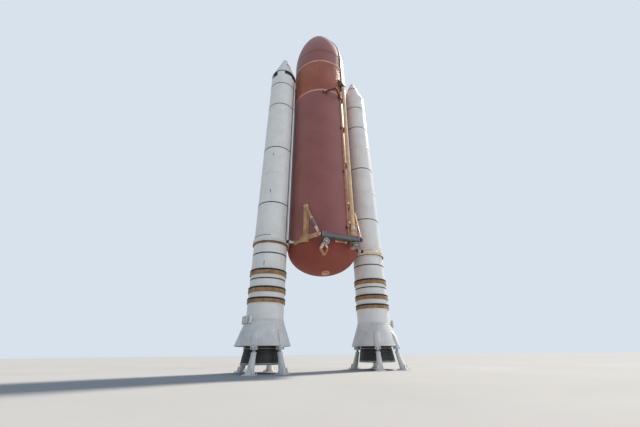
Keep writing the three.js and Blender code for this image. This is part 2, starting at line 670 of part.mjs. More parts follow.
  const shoeZ = POST_HEIGHT - GAP - POST.shoeHeight;
  const boltZ = shoeZ - POST.boltHeight;
  const leaning = new THREE.Matrix4().makeShear(0, 0, 0, 0, 0, POST.lean / boltZ);
  for (const [corner, azimuth] of Object.entries(POST_AZIMUTHS)) {
    const footing = POST.away + POST.lean;
    const plate = block([POST.plate, POST.plate, POST.plateHeight], [0, -footing, POST.plateHeight / 2]);
    const pedestal = new THREE.CylinderGeometry(POST.topRadius, POST.bottomRadius, boltZ - 1, 12);
    pedestal.rotateX(Math.PI / 2).translate(0, 0, (boltZ + 1) / 2);
    pedestal.applyMatrix4(leaning).translate(0, -footing, 0);
    const bolt = bar([0, -POST.away, boltZ - 1], [0, -POST.away, shoeZ + 1], POST.boltRadius, 8);
    const shoeCentre = [0, -POST.away, shoeZ + POST.shoeHeight / 2];
    const shoe = block([POST.shoe, POST.shoe, POST.shoeHeight], shoeCentre);
    const shapes = [plate, pedestal, bolt, shoe];
    add(`post_${corner}`, join(...shapes.map((shape) => shape.rotateZ(radians(side * azimuth)))), 'white');
  }

  // Forward fitting on the tank, and the two aft struts

  const fittingRoot = [side * (TANK_RADIUS - 5), 0, fittingZ];
  const fittingTip = [side * (THRUST_FITTING.split - GAP / 2), 0, fittingZ];
  const tankFitting = bar(fittingRoot, fittingTip, THRUST_FITTING.radius, 16);
  place(stack, `thrust_fitting_${hand}`, cut(join(tankFitting), envelope), 'tan');

  const strutZ = tankZ(AFT_STRUT.station);
  const ringEnvelope = turned([
    [0, boosterZ(ATTACH_RING.bottom)],
    [ringOut + GAP, boosterZ(ATTACH_RING.bottom)],
    [ringOut + GAP, boosterZ(ATTACH_RING.top) + 20],
    [0, boosterZ(ATTACH_RING.top) + 20],
  ], BOOSTER_SIDES).translate(side * BOOSTER_OFFSET, 0, 0);
  for (const [end, y] of Object.entries(AFT_STRUT.offsets)) {
    const tankEnd = Math.sqrt(TANK_RADIUS ** 2 - y ** 2) - 5;
    const boosterEnd = BOOSTER_OFFSET - Math.sqrt(ringOut ** 2 - y ** 2) + 5;
    const strut = bar([side * tankEnd, y, strutZ], [side * boosterEnd, y, strutZ], AFT_STRUT.radius, 12);
    place(stack, `aft_strut_${end}_${hand}`, cut(join(strut), envelope, domeEnvelope, ringEnvelope), 'white');
  }
}

export default stack;
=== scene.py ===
"""Finishes a tenth-size display stack: a foam-covered propellant tank between two white boosters.

Shapes are modelled in inches of the full-size vehicle about the axis that carries them, and
new_piece() brings them to the model's metres. Stations are inches down from a level above the
nose, one level for the tank and another for the boosters. Azimuths are degrees from the front
(-Y) towards the right (+X).
"""
import math

import bmesh
import bpy
from mathutils import Matrix, Vector


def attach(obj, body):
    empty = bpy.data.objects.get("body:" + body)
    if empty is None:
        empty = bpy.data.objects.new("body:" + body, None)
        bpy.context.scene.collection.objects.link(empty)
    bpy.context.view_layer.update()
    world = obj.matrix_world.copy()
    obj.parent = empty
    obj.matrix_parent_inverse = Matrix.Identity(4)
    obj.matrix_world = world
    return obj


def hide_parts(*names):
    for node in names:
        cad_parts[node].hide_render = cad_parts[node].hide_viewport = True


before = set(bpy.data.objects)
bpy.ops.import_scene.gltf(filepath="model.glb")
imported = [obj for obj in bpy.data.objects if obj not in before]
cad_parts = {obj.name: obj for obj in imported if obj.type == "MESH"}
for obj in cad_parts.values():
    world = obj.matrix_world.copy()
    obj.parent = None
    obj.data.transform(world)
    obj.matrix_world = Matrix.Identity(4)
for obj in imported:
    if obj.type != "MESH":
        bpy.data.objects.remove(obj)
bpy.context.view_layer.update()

# Scale and heights
INCH = 0.00254                   # metres of the model in an inch of the vehicle
GAP = 0.12                       # 0.3 mm of the model, between pieces that meet
SETBACK = 22                     # how far behind the origin the tank's and boosters' axes stand
POST_HEIGHT = 88
SKIRT_STATION = 1930             # the skirts' feet, which stand on the posts
TANK_STATION_SHIFT = 543.2       # a level's station on the tank, less its station on a booster

# Sides of the large round parts
TANK_SIDES, BOOSTER_SIDES, FORWARD_SKIRT_SIDES = 192, 144, 120
NOSE_CAP_SIDES, NOZZLE_SIDES = 72, 128

# Camera, low in front and to the left: its place in metres, its turns in radians
CAMERA = {"place": (-1.20416, -2.86308, 0.15218), "right": 0.3841, "up": 0.479, "roll": -0.01,
          "lens": 15.249, "sensor": 36}

# Tank
TANK_RADIUS = 166.5
NOSE_TIP, NOSE_BASE = 322.5, 371
OGIVE_END, OGIVE_RADIUS = 745, 612
WELD_SEAM = (737, 741)           # stations of its top and bottom
FORWARD_FLANGE, AFT_FLANGE = 852.8, 1123.15
FLANGE_BAND, FLANGE_RISE = 12, 1.9
INTERTANK_TOP = FORWARD_FLANGE + FLANGE_BAND / 2
INTERTANK_BOTTOM = AFT_FLANGE - FLANGE_BAND / 2
DOME_TOP, DOME_DEPTH, DOME_RADIUS = 2058, 118, 165.6
RIB_RADIUS, RIB_RISE = 167.4, 1.5
STRINGERS = {"count": 108, "width": 4.6}
THRUST_PANEL = {"half_angle": 22.5, "ribs": 25, "rib_width": 2.2}
MANHOLE = {"out": 36, "lean": 2, "radius": 19, "rim": 14.5}

# Lines down the tank
FEEDLINE = {"azimuth": 29, "radius": 9.5, "away": 181, "bottom": 2044, "elbow": 2052}
FEEDLINE_BRACKETS = [1145, 1377, 1624, 1871, 1973]
FEEDLINE_BANDS = [               # upper edge, height, rise
    (1046, 12, 1.6),
    (1262, 4, 0.9),
    (1500, 4, 0.9),
    (1748, 4, 0.9),
    (1992, 12, 1.8),
    (2016, 5, 1.0),
]
TRAY = {"azimuth": 22, "width": 9, "rise": 5, "top": 1154, "covers": 15}
TRAY_RAMPS = [1160, 1388, 1683, 1992]     # dark foam ramps on the tray's left side
PRESSURE_LINE_RAMPS = range(1172, 2030, 49)
NOSE_TRAY = {"azimuth": 32.5, "top": 395, "clips": range(430, 980, 34)}
FAIRING = {"azimuth": 27, "width": 52, "proud": 2, "slope": 18, "lip": 6, "top": 988, "bottom": 1040}

# Fittings down the tank's front
BIPOD = {"station": 1142, "facing": 4, "spread": 17, "apex": 208, "radius": 5}
LONGERON = {"azimuth": 47, "width": 25, "rise": 9, "top": 1888, "bottom": 2072,
            "ribs": 6, "rib_pitch": 20}
GUSSET = {"azimuth": 50, "width": 36, "height": 46, "rise": 5}
RING_BLOCKS = {"azimuths": [53, 63], "width": 32, "height": 14, "rise": 6}
BALL = {"side": 96.5, "out": 204, "station": 2065, "radius": 9}
CROSSBEAM = {"depth": 18, "height": 22, "bays": 14}
UMBILICAL = {"side": 68, "out": 204, "station": 2095, "radius": 13, "length": 18,
             "latches": 8, "bolts": 16}
# radius, then (side, out, station) of each point from the left umbilical to the dome
HYDROGEN_LINES = [
    (6.5, [(68, 195, 2095), (68, 178, 2095), (71, 150, 2109), (43, 128, 2123)]),
    (4.5, [(60, 195, 2095), (60, 178, 2095), (38, 152, 2102), (41, 128, 2123)]),
]
BLEACHED_OUT = 165               # further out than this the hydrogen lines are bleached
CROSS_LINE_STATION = 2083

# Boosters
HANDS = {"left": -1, "right": 1}
BOOSTER_OFFSET = 250.5
BOOSTER_RADIUS = 73
CAP_TIP, CAP_BASE, CAP_RADIUS = 200, 275, 34
FRUSTUM_BASE, FORWARD_SKIRT_BASE = 397, 520
SEGMENTS = {
    "forward_segment": (520, 851.5),
    "forward_center_segment": (851.5, 1171.5),
    "aft_center_segment": (1171.5, 1491.5),
}
AFT_SEGMENT = (1491.5, 1837)
JOINT_BAND, JOINT_RISE = 7, 0.9
FACTORY_JOINTS = {                # dark lines round the casing, by the segment that has them
    "forward_segment": [690],
    "forward_center_segment": [1008],
    "aft_center_segment": [1335],
    "aft_segment": [1578, 1684],
}
JOINT_LINE, LOWEST_JOINT_LINE = 5.0, 4.8  # heights of the dark lines
CASING_PADS = {"azimuth": -28, "stations": [1059, 1275, 1624], "width": 2.6, "height": 18}
# ports in the frustum, their azimuths from the front towards the tank
MOTOR_PORTS = {"azimuths": [12, 33, 54, 75], "drop": 12, "radius": 6.8, "bore": 6}
# azimuths where the top of the left forward skirt is coated black, with the lower edge's station
BLACK_PATCHES = [(-75, -45, 440), (-9, 30, 428), (30, 78, 440)]
ATTACH_RING = {"top": 1511, "bottom": 1530, "rise": 6}
RING_DASHES = {"count": 46, "start": -96, "pitch": 1.8}
STIFFENERS = [(1647, 20, 3.5), (1718, 19, 3.5), (1760, 17, 3.5)]  # upper edge, height, rise
TUNNEL = {"azimuths": {"left": 52, "right": -128}, "width": 11, "rise": 5,
          "top": 452, "bottom": 1508, "covers": 26}
THRUST_FITTING = {"station": 985.7, "radius": 14, "split": 172.6}
AFT_STRUT = {"offsets": {"front": -52, "back": 52}, "radius": 5, "station": 2056}

# Aft skirts, nozzles and posts
SKIRT = {"top": 1837, "top_radius": 73.6, "bottom_radius": 105, "wall": 2.4}
MOTORS = {"azimuths": [51, 65, 79, 93], "away": 82, "radius": 5.6, "above": 12, "below": 16}
CURTAIN = {"station": 1888, "thickness": 4, "sag": 9, "hole": 69.5, "wedges": 36}
BELL = [(1849, 27), (1860, 33), (1876, 43), (1900, 53.5), (1940, 66), (1990, 74.8)]
NOZZLE_WALL = 2.6
NOZZLE_BANDS = [(1884, 3, 0.5), (1912, 3, 0.5), (1936, 2.4, 0.5), (1984, 5, 0.55)]  # top, height, rise
PIVOT = 1843
BALL_JOINT_RADIUS, SOCKET_RADIUS = 21.25, 26
POST_AZIMUTHS = {"front_out": 28, "front_in": -28, "back_out": 152, "back_in": -152}
POST = {"away": 98, "shoe": 22, "shoe_height": 12, "bolt_radius": 4.5, "bolt_height": 8,
        "top_radius": 8, "bottom_radius": 14, "lean": 21, "plate": 42, "plate_height": 3}
FOOT = {"inner": 89, "outer": 109, "heel": 6, "top": 28, "width": 18}

TANK_AXIS = Vector((0, SETBACK, 0))
FRONT = Vector((0, -1, 0))


def booster_height(station):
    return POST_HEIGHT + SKIRT_STATION - station


def tank_height(station):
    return booster_height(station - TANK_STATION_SHIFT)


def turn(azimuth):
    return Matrix.Rotation(math.radians(azimuth), 4, "Z")


def facing(azimuth, away, height):
    """The point that lies this far from the axis at an azimuth."""
    point = turn(azimuth) @ (FRONT * away)
    point.z = height
    return point


# Camera
camera = bpy.data.objects.new("camera", bpy.data.cameras.new("camera"))
camera.data.lens = CAMERA["lens"]
camera.data.sensor_width = CAMERA["sensor"]
camera.matrix_world = (
    Matrix.Translation(CAMERA["place"])
    @ Matrix.Rotation(-CAMERA["right"], 4, "Z")
    @ Matrix.Rotation(math.pi / 2 + CAMERA["up"], 4, "X")
    @ Matrix.Rotation(CAMERA["roll"], 4, "Z")
)
bpy.context.scene.collection.objects.link(camera)
bpy.context.scene.camera = camera


# Shapes

def spun(rows, sides):
    """A shape turned about the axis from rows of (radius, height), which start and end on it or
    close on themselves."""
    shape = bmesh.new()
    corners = [shape.verts.new((0, -radius, height)) for radius, height in rows]
    edges = [shape.edges.new(pair) for pair in zip(corners, corners[1:])]
    bmesh.ops.spin(shape, geom=corners + edges, cent=(0, 0, 0), axis=(0, 0, 1),
                   angle=math.tau, steps=sides, use_merge=True)
    bmesh.ops.remove_doubles(shape, verts=shape.verts, dist=0.001)
    bmesh.ops.recalc_face_normals(shape, faces=shape.faces)
    return shape


def band(radius, rise, top, bottom, soft, sides, depth=1.5):
    """A ring that stands proud of a cylinder, its outer edges rounded."""
    crown = radius + rise
    return spun([
        (radius - depth, bottom),
        (crown - soft, bottom),
        (crown - 0.3 * soft, bottom + 0.3 * soft),
        (crown, bottom + soft),
        (crown, top - soft),
        (crown - 0.3 * soft, top - 0.3 * soft),
        (crown - soft, top),
        (radius - depth, top),
        (radius - depth, bottom),
    ], sides)


def softened(shape, width, segments=2, angle=25):
    """Rounds the edges that turn by more than an angle."""
    sharp = [e for e in shape.edges if e.is_manifold and e.calc_face_angle() > math.radians(angle)]
    bmesh.ops.bevel(shape, geom=sharp, offset=width, offset_type="OFFSET", affect="EDGES",
                    segments=segments, profile=0.5, material=-1, clamp_overlap=True)
    bmesh.ops.dissolve_degenerate(shape, dist=0.001, edges=shape.edges)
    return shape


def block(size, centre, soft, segments=2):
    """A box with rounded edges."""
    shape = bmesh.new()
    place = Matrix.Translation(centre) @ Matrix.Diagonal((*size, 1))
    bmesh.ops.create_cube(shape, size=1, matrix=place)
    return softened(shape, soft, segments)


def rod(start, end, radius, end_radius=None, sides=24, soft=0.0):
    """A round bar between two points, tapered where an end radius is given."""
    start, end = Vector(start), Vector(end)
    run = end - start
    place = Matrix.Translation((start + end) / 2) @ run.to_track_quat("Z", "Y").to_matrix().to_4x4()
    shape = bmesh.new()
    bmesh.ops.create_cone(shape, cap_ends=True, segments=sides, radius1=radius, depth=run.length,
                          radius2=radius if end_radius is None else end_radius, matrix=place)
    return softened(shape, soft, 2, 50) if soft else shape


def sphere(centre, radius, rings=16):
    shape = bmesh.new()
    bmesh.ops.create_uvsphere(shape, u_segments=2 * rings, v_segments=rings, radius=radius,
                              matrix=Matrix.Translation(centre))
    return shape


def pushed(outline, along, soft):
    """A closed plate: a flat outline of corners pushed along a vector."""
    shape = bmesh.new()
    face = shape.faces.new([shape.verts.new(corner) for corner in outline])
    swept = bmesh.ops.extrude_face_region(shape, geom=[face])["geom"]
    moved = [v for v in swept if isinstance(v, bmesh.types.BMVert)]
    bmesh.ops.translate(shape, vec=along, verts=moved)
    bmesh.ops.recalc_face_normals(shape, faces=shape.faces)
    return softened(shape, soft) if soft else shape


def slab(outline, width, azimuth=0, soft=0.0):
    """A side view of (distance out, height) points, as wide as given, turned to the azimuth."""
    corners = [(-width / 2, -out, height) for out, height in outline]
    return turned(pushed(corners, (width, 0, 0), soft), azimuth)


def turned(shape, azimuth):
    """Turns a shape about the axis, from the front to an azimuth."""
    bmesh.ops.transform(shape, matrix=turn(azimuth), verts=shape.verts)
    return shape


def rounded(corners, reach, steps=6):
    """Corner points with the inner ones rounded off."""
    corners = [Vector(corner) for corner in corners]
    route = [corners[0]]
    for before, corner, after in zip(corners, corners[1:], corners[2:]):
        start = corner + (before - corner).normalized() * reach
        end = corner + (after - corner).normalized() * reach
        for step in range(steps + 1):
            t = step / steps
            route.append(start.lerp(corner, t).lerp(corner.lerp(end, t), t))
    return route + [corners[-1]]


def smoothed(points, steps=5):
    """A smooth curve of (radius, height) rows that passes through each point."""
    rows = []
    for i in range(len(points) - 1):
        before = Vector(points[max(i - 1, 0)])
        start, end = Vector(points[i]), Vector(points[i + 1])
        after = Vector(points[min(i + 2, len(points) - 1)])
        for step in range(steps):
            t = step / steps
            h1, h2 = 2 * t ** 3 - 3 * t ** 2 + 1, -2 * t ** 3 + 3 * t ** 2
            h3, h4 = t ** 3 - 2 * t ** 2 + t, t ** 3 - t ** 2
            point = start * h1 + end * h2 + (end - before) * 0.5 * h3 + (after - start) * 0.5 * h4
            rows.append((point.x, point.y))
    return rows + [points[-1]]


def arc(radius, middle, start, end, steps=12):
    """Rows along a circle about a height on the axis, between two angles from straight up."""
    rows = []
    for i in range(steps + 1):
        angle = start + (end - start) * i / steps
        rows.append((radius * math.sin(angle), middle + radius * math.cos(angle)))
    return rows


def piped(route, radius, smoothness):
    """A round pipe with closed ends along a route."""
    curve = bpy.data.curves.new("route", "CURVE")
    curve.dimensions = "3D"
    curve.bevel_depth = radius
    curve.bevel_resolution = smoothness
    curve.use_fill_caps = True
    line = curve.splines.new("POLY")
    line.points.add(len(route) - 1)
    for point, spot in zip(line.points, route):
        point.co = (*spot, 1)
    holder = bpy.data.objects.new("route", curve)
    mesh = bpy.data.meshes.new_from_object(holder)
    shape = bmesh.new()
    shape.from_mesh(mesh)
    bpy.data.objects.remove(holder)
    bpy.data.curves.remove(curve)
    bpy.data.meshes.remove(mesh)
    bmesh.ops.remove_doubles(shape, verts=shape.verts, dist=0.001)
    bmesh.ops.recalc_face_normals(shape, faces=shape.faces)
    return shape


def coated(shape, finish):
    """The whole shape takes one of its piece's finishes, by its place in their list."""
    for face in shape.faces:
        face.material_index = finish
    return shape


def gather(*shapes):
    """Shapes as one, each with its finishes."""
    whole = bmesh.new()
    for shape in shapes:
        mesh = bpy.data.meshes.new("part")
        shape.to_mesh(mesh)
        shape.free()
        whole.from_mesh(mesh)
        bpy.data.meshes.remove(mesh)
    return whole


def studs(spots, radius, height, sides=6):
    """Small bolt heads at (place, direction) spots."""
    shape = bmesh.new()
    for place, direction in spots:
        up = Vector(direction).to_track_quat("Z", "Y").to_matrix().to_4x4()
        bmesh.ops.create_cone(shape, cap_ends=True, segments=sides, radius1=radius,
                              radius2=0.86 * radius, depth=height,
                              matrix=Matrix.Translation(place) @ up)
    return shape


def stud_row(count, away, height, radius, rise):
    """A ring of bolt heads round the axis."""
    spots = []
    for i in range(count):
        azimuth = 360 * i / count
        spots.append((facing(azimuth, away, height), facing(azimuth, 1, 0)))
    return studs(spots, radius, rise)


def new_piece(name, shape, finishes, stands_for=(), axis=TANK_AXIS, body="stack", crease=32):
    """Brings a shape from inches about its axis to the model, with its finishes and its body."""
    place = Matrix.Scale(INCH, 4) @ Matrix.Translation(axis)
    bmesh.ops.transform(shape, matrix=place, verts=shape.verts)
    mesh = bpy.data.meshes.new(name)
    shape.to_mesh(mesh)
    shape.free()
    for finish in finishes:
        mesh.materials.append(finish)
    mesh.shade_smooth()
    mesh.set_sharp_from_angle(angle=math.radians(crease))
    piece = bpy.data.objects.new(name, mesh)
    bpy.context.scene.collection.objects.link(piece)
    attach(piece, body)
    if stands_for:
        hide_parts(*stands_for)
    return piece


# Materials

def shade_of(colour):
    """An sRGB hex colour as linear numbers."""
    parts = [int(colour[i:i + 2], 16) / 255 for i in (1, 3, 5)]
    linear = [p / 12.92 if p <= 0.04045 else ((p + 0.055) / 1.055) ** 2.4 for p in parts]
    return (*linear, 1)


def add(tree, kind, inputs=(), stops=(), **settings):
    """A node with its settings. An input that is another node's output is linked to it.

    Sockets go by name, or by number where names repeat: a Mix of colours has its share at 0 and
    its colours at 6 and 7, and a Map Range has its value at 0, what that runs from and to at 1
    and 2, and what comes out at 3 and 4.
    """
    node = tree.nodes.new("ShaderNode" + kind)
    for setting, value in settings.items():
        setattr(node, setting, value)
    for socket, value in dict(inputs).items():
        if isinstance(value, bpy.types.NodeSocket):
            tree.links.new(value, node.inputs[socket])
        else:
            node.inputs[socket].default_value = value
    for i, (position, colour) in enumerate(stops):
        elements = node.color_ramp.elements
        element = elements[i] if i < len(elements) else elements.new(position)
        element.position = position
        element.color = shade_of(colour)
    return node


def material(name, roughness, **settings):
    """A new material, its shader and the place on the object, in metres."""
    made = bpy.data.materials.new(name)
    made.use_nodes = True
    tree = made.node_tree
    shader = tree.nodes["Principled BSDF"]
    shader.inputs["Roughness"].default_value = roughness
    for socket, value in settings.items():
        shader.inputs[socket.replace("_", " ")].default_value = value
    return made, tree, shader, add(tree, "TexCoord").outputs["Object"]


def sprayed_foam(name, tone, deep, pale, roughness, sheen=0.2, glaze=0.25):
    """Polyurethane foam sprayed in passes round the tank and left unpainted, so it has soft
    upright sun-worn streaks, faint level bands and an orange-peel skin."""
    made, tree, shader, spot = material(name, roughness, Sheen_Weight=sheen, Sheen_Roughness=0.4,
                                        Coat_Weight=glaze, Coat_Roughness=0.48)
    upright = add(tree, "Mapping", {"Vector": spot, "Scale": (1, 1, 0.09)}).outputs[0]
    # run-down streaks are about 400 mm wide at full size
    streaks = add(tree, "TexNoise", {"Vector": upright, "Scale": 24, "Detail": 5, "Roughness": 0.6})
    # blotches where batches of foam aged differently, about 3 m at full size
    blotches = add(tree, "TexNoise", {"Vector": spot, "Scale": 3.2, "Detail": 4, "Distortion": 0.4})
    level = add(tree, "Mapping", {"Vector": spot, "Scale": (0.25, 0.25, 1)}).outputs[0]
    # spray passes are about 60 mm apart; drawn four times as coarse so that they show
    passes = add(tree, "TexNoise", {"Vector": level, "Scale": 42, "Detail": 2})
    # the orange peel is 6 to 10 mm at full size; drawn about three times as coarse
    peel = add(tree, "TexNoise", {"Vector": spot, "Scale": 420, "Detail": 3, "Roughness": 0.65})
    worn = add(tree, "ValToRGB", {"Fac": blotches.outputs[0]},
               [(0.30, deep), (0.50, tone), (0.72, pale)])
    streaked = add(tree, "Mix", {0: add(tree, "Math", {0: streaks.outputs[0], 1: 0.5},
                                        operation="MULTIPLY").outputs[0],
                                 6: worn.outputs[0], 7: shade_of(deep)}, data_type="RGBA")
    banded = add(tree, "Mix", {0: add(tree, "Math", {0: passes.outputs[0], 1: 0.32},
                                      operation="MULTIPLY").outputs[0],
                               6: streaked.outputs[2], 7: shade_of(pale)}, data_type="RGBA")
    speckled = add(tree, "Mix", {0: add(tree, "MapRange", {0: peel.outputs[0], 1: 0.62, 2: 0.78,
                                                           3: 0.0, 4: 0.35}).outputs[0],
                                 6: banded.outputs[2], 7: shade_of(deep)}, data_type="RGBA")
    tree.links.new(speckled.outputs[2], shader.inputs["Base Color"])
    swell = add(tree, "Bump", {"Strength": 0.35, "Distance": 0.0012, "Height": passes.outputs[0]})
    skin = add(tree, "Bump", {"Strength": 0.5, "Distance": 0.0006, "Height": peel.outputs[0],
                              "Normal": swell.outputs[0]})
    tree.links.new(skin.outputs[0], shader.inputs["Normal"])
    return made


def trimmed_foam(name, tone, deep, pale):
    """Poured foam, trimmed by hand and primed: fine cut marks, pits, and sun-bleached faces."""
    made, tree, shader, spot = material(name, 0.7)
    # bleached patches are about 700 mm across at full size
    clouds = add(tree, "TexNoise", {"Vector": spot, "Scale": 14, "Detail": 6, "Roughness": 0.62})
    # pits are 5 to 15 mm at full size; drawn about three times as coarse
    pits = add(tree, "TexVoronoi", {"Vector": spot, "Scale": 320})
    aged = add(tree, "ValToRGB", {"Fac": clouds.outputs[0]},
               [(0.28, deep), (0.5, tone), (0.74, pale)])
    pitted = add(tree, "Mix", {0: add(tree, "MapRange", {0: pits.outputs[0], 1: 0.0, 2: 0.22,
                                                         3: 0.4, 4: 0.0}).outputs[0],
                               6: aged.outputs[0], 7: shade_of(deep)}, data_type="RGBA")
    tree.links.new(pitted.outputs[2], shader.inputs["Base Color"])
    # strokes of the knife and the sanding block are about 50 mm wide at full size
    cut = add(tree, "TexNoise", {"Vector": spot, "Scale": 180, "Detail": 4})
    skin = add(tree, "Bump", {"Strength": 0.45, "Distance": 0.0006, "Height": cut.outputs[0]})
    tree.links.new(skin.outputs[0], shader.inputs["Normal"])
    return made


def weathered_enamel(name, clean, dull, grime, roughness, chip=None):
    """White enamel over steel, brushed and rolled on: rain-washed upright streaks, grey blotches,
    a faint roller texture, and on the posts small chips down to the metal."""
    made, tree, shader, spot = material(name, roughness, Coat_Weight=0.08, Coat_Roughness=0.35)
    upright = add(tree, "Mapping", {"Vector": spot, "Scale": (1, 1, 0.07)}).outputs[0]
    # rain streaks are 100 to 300 mm wide at full size
    streaks = add(tree, "TexNoise", {"Vector": upright, "Scale": 55, "Detail": 5, "Roughness": 0.65})
    # grey blotches are 1 to 2 m across at full size
    blotches = add(tree, "TexNoise", {"Vector": spot, "Scale": 6, "Detail": 5, "Roughness": 0.55})
    ground = add(tree, "ValToRGB", {"Fac": blotches.outputs[0]}, [(0.32, dull), (0.6, clean)])
    wash = add(tree, "MapRange", {0: streaks.outputs[0], 1: 0.52, 2: 0.8, 3: 0.0, 4: 0.5})
    stained = add(tree, "Mix", {0: wash.outputs[0], 6: ground.outputs[0], 7: shade_of(grime)},
                  data_type="RGBA")
    colour = stained.outputs[2]
    if chip:
        # chips lie in clusters about 100 mm apart at full size
        flakes = add(tree, "TexNoise", {"Vector": spot, "Scale": 90, "Detail": 6, "Roughness": 0.7})
        bare = add(tree, "MapRange", {0: flakes.outputs[0], 1: 0.68, 2: 0.7, 3: 0.0, 4: 1.0})
        colour = add(tree, "Mix", {0: bare.outputs[0], 6: colour, 7: shade_of(chip)},
                     data_type="RGBA").outputs[2]
    tree.links.new(colour, shader.inputs["Base Color"])
    gloss = add(tree, "MapRange", {0: blotches.outputs[0], 1: 0.3, 2: 0.7,
                                   3: roughness + 0.12, 4: roughness - 0.06})
    tree.links.new(gloss.outputs[0], shader.inputs["Roughness"])
    # the roller's texture is 3 to 5 mm at full size; drawn about ten times as coarse
    roller = add(tree, "TexNoise", {"Vector": spot, "Scale": 260, "Detail": 3})
    skin = add(tree, "Bump", {"Strength": 0.16, "Distance": 0.0005, "Height": roller.outputs[0]})
    tree.links.new(skin.outputs[0], shader.inputs["Normal"])
    return made


def trowelled_ablator(name, tone, deep, pale):
    """Cork-filled epoxy ablator laid on by trowel: grainy, tan, and darker where it was patched."""
    made, tree, shader, spot = material(name, 0.82)
    # cork grain is 2 to 4 mm at full size; drawn about six times as coarse
    grain = add(tree, "TexVoronoi", {"Vector": spot, "Scale": 520})
    # patches are about 550 mm across at full size
    patches = add(tree, "TexNoise", {"Vector": spot, "Scale": 18, "Detail": 5, "Distortion": 0.6})
    ground = add(tree, "ValToRGB", {"Fac": patches.outputs[0]},
                 [(0.3, deep), (0.52, tone), (0.75, pale)])
    grained = add(tree, "Mix", {0: add(tree, "MapRange", {0: grain.outputs[0], 1: 0.05, 2: 0.5,
                                                          3: 0.45, 4: 0.0}).outputs[0],
                                6: ground.outputs[0], 7: shade_of(deep)}, data_type="RGBA")
    tree.links.new(grained.outputs[2], shader.inputs["Base Color"])
    skin = add(tree, "Bump", {"Strength": 0.5, "Distance": 0.0005, "Height": grain.outputs[0]})
    tree.links.new(skin.outputs[0], shader.inputs["Normal"])
    return made


def rolled_sealant(name, tone, dust):
    """Dark polysulphide sealant in the joints: rubbery, with a bloom of dust."""
    made, tree, shader, spot = material(name, 0.62)
    # dust gathers in patches of about 140 mm at full size
    bloom = add(tree, "TexNoise", {"Vector": spot, "Scale": 70, "Detail": 5, "Roughness": 0.7})
    dusty = add(tree, "ValToRGB", {"Fac": bloom.outputs[0]}, [(0.42, tone), (0.85, dust)])
    tree.links.new(dusty.outputs[0], shader.inputs["Base Color"])
    skin = add(tree, "Bump", {"Strength": 0.3, "Distance": 0.0004, "Height": bloom.outputs[0]})
    tree.links.new(skin.outputs[0], shader.inputs["Normal"])
    return made


def painted_steel(name, tone, worn, metal):
    """Steel under thin paint or zinc: a little sheen, scuffs on the faces, brighter edges."""
    made, tree, shader, spot = material(name, 0.42, Metallic=0.15)
    # scuffed patches are up to about 300 mm across at full size
    scuffs = add(tree, "TexNoise", {"Vector": spot, "Scale": 36, "Detail": 7, "Roughness": 0.68})
    ground = add(tree, "ValToRGB", {"Fac": scuffs.outputs[0]}, [(0.35, tone), (0.75, worn)])
    edge = add(tree, "NewGeometry").outputs["Pointiness"]
    rubbed = add(tree, "Math", {0: edge, 1: add(tree, "Math", {0: scuffs.outputs[0], 1: 0.08},
                                                operation="MULTIPLY").outputs[0]}, operation="ADD")
    bare = add(tree, "MapRange", {0: rubbed.outputs[0], 1: 0.56, 2: 0.60, 3: 0.0, 4: 0.8})
    edged = add(tree, "Mix", {0: bare.outputs[0], 6: ground.outputs[0], 7: shade_of(metal)},
                data_type="RGBA")
    tree.links.new(edged.outputs[2], shader.inputs["Base Color"])
    skin = add(tree, "Bump", {"Strength": 0.12, "Distance": 0.0004, "Height": scuffs.outputs[0]})
    tree.links.new(skin.outputs[0], shader.inputs["Normal"])
    return made


def machined_aluminium(name, tone, stain):
    """Aluminium fittings, turned and left bare outdoors: soft tool lines and dull oxide."""
    made, tree, shader, spot = material(name, 0.34, Metallic=0.85)
    # tool lines are under 1 mm apart at full size; drawn about 17 mm apart so that they show
    fine = add(tree, "Mapping", {"Vector": spot, "Scale": (1, 0.1, 1)}).outputs[0]
    lines = add(tree, "TexNoise", {"Vector": fine, "Scale": 600, "Detail": 2})
    # oxide stains are about 170 mm across at full size
    oxide = add(tree, "TexNoise", {"Vector": spot, "Scale": 60, "Detail": 6, "Roughness": 0.7})
    dulled = add(tree, "ValToRGB", {"Fac": oxide.outputs[0]}, [(0.38, tone), (0.8, stain)])
    tree.links.new(dulled.outputs[0], shader.inputs["Base Color"])
    dull = add(tree, "MapRange", {0: oxide.outputs[0], 1: 0.3, 2: 0.75, 3: 0.28, 4: 0.55})
    tree.links.new(dull.outputs[0], shader.inputs["Roughness"])
    skin = add(tree, "Bump", {"Strength": 0.12, "Distance": 0.0002, "Height": lines.outputs[0]})
    tree.links.new(skin.outputs[0], shader.inputs["Normal"])
    return made


def wrapped_phenolic(name, tone, char, fibre):
    """Carbon-cloth phenolic, tape-wrapped on a mandrel and machined: level ply lines, dull black."""
    made, tree, shader, spot = material(name, 0.55)
    plies = add(tree, "Mapping", {"Vector": spot, "Scale": (0.02, 0.02, 1)}).outputs[0]
    # plies are under 1 mm at full size; drawn as bands of about 50 mm so that they show
    lines = add(tree, "TexNoise", {"Vector": plies, "Scale": 190, "Detail": 3})
    # soot lies in clouds of about 800 mm at full size
    soot = add(tree, "TexNoise", {"Vector": spot, "Scale": 12, "Detail": 6, "Roughness": 0.6})
    ground = add(tree, "ValToRGB", {"Fac": soot.outputs[0]}, [(0.35, char), (0.7, tone)])
    lined = add(tree, "Mix", {0: add(tree, "MapRange", {0: lines.outputs[0], 1: 0.45, 2: 0.7,
                                                        3: 0.0, 4: 0.6}).outputs[0],
                              6: ground.outputs[0], 7: shade_of(fibre)}, data_type="RGBA")
    tree.links.new(lined.outputs[2], shader.inputs["Base Color"])
    skin = add(tree, "Bump", {"Strength": 0.3, "Distance": 0.0004, "Height": lines.outputs[0]})
    tree.links.new(skin.outputs[0], shader.inputs["Normal"])
    return made


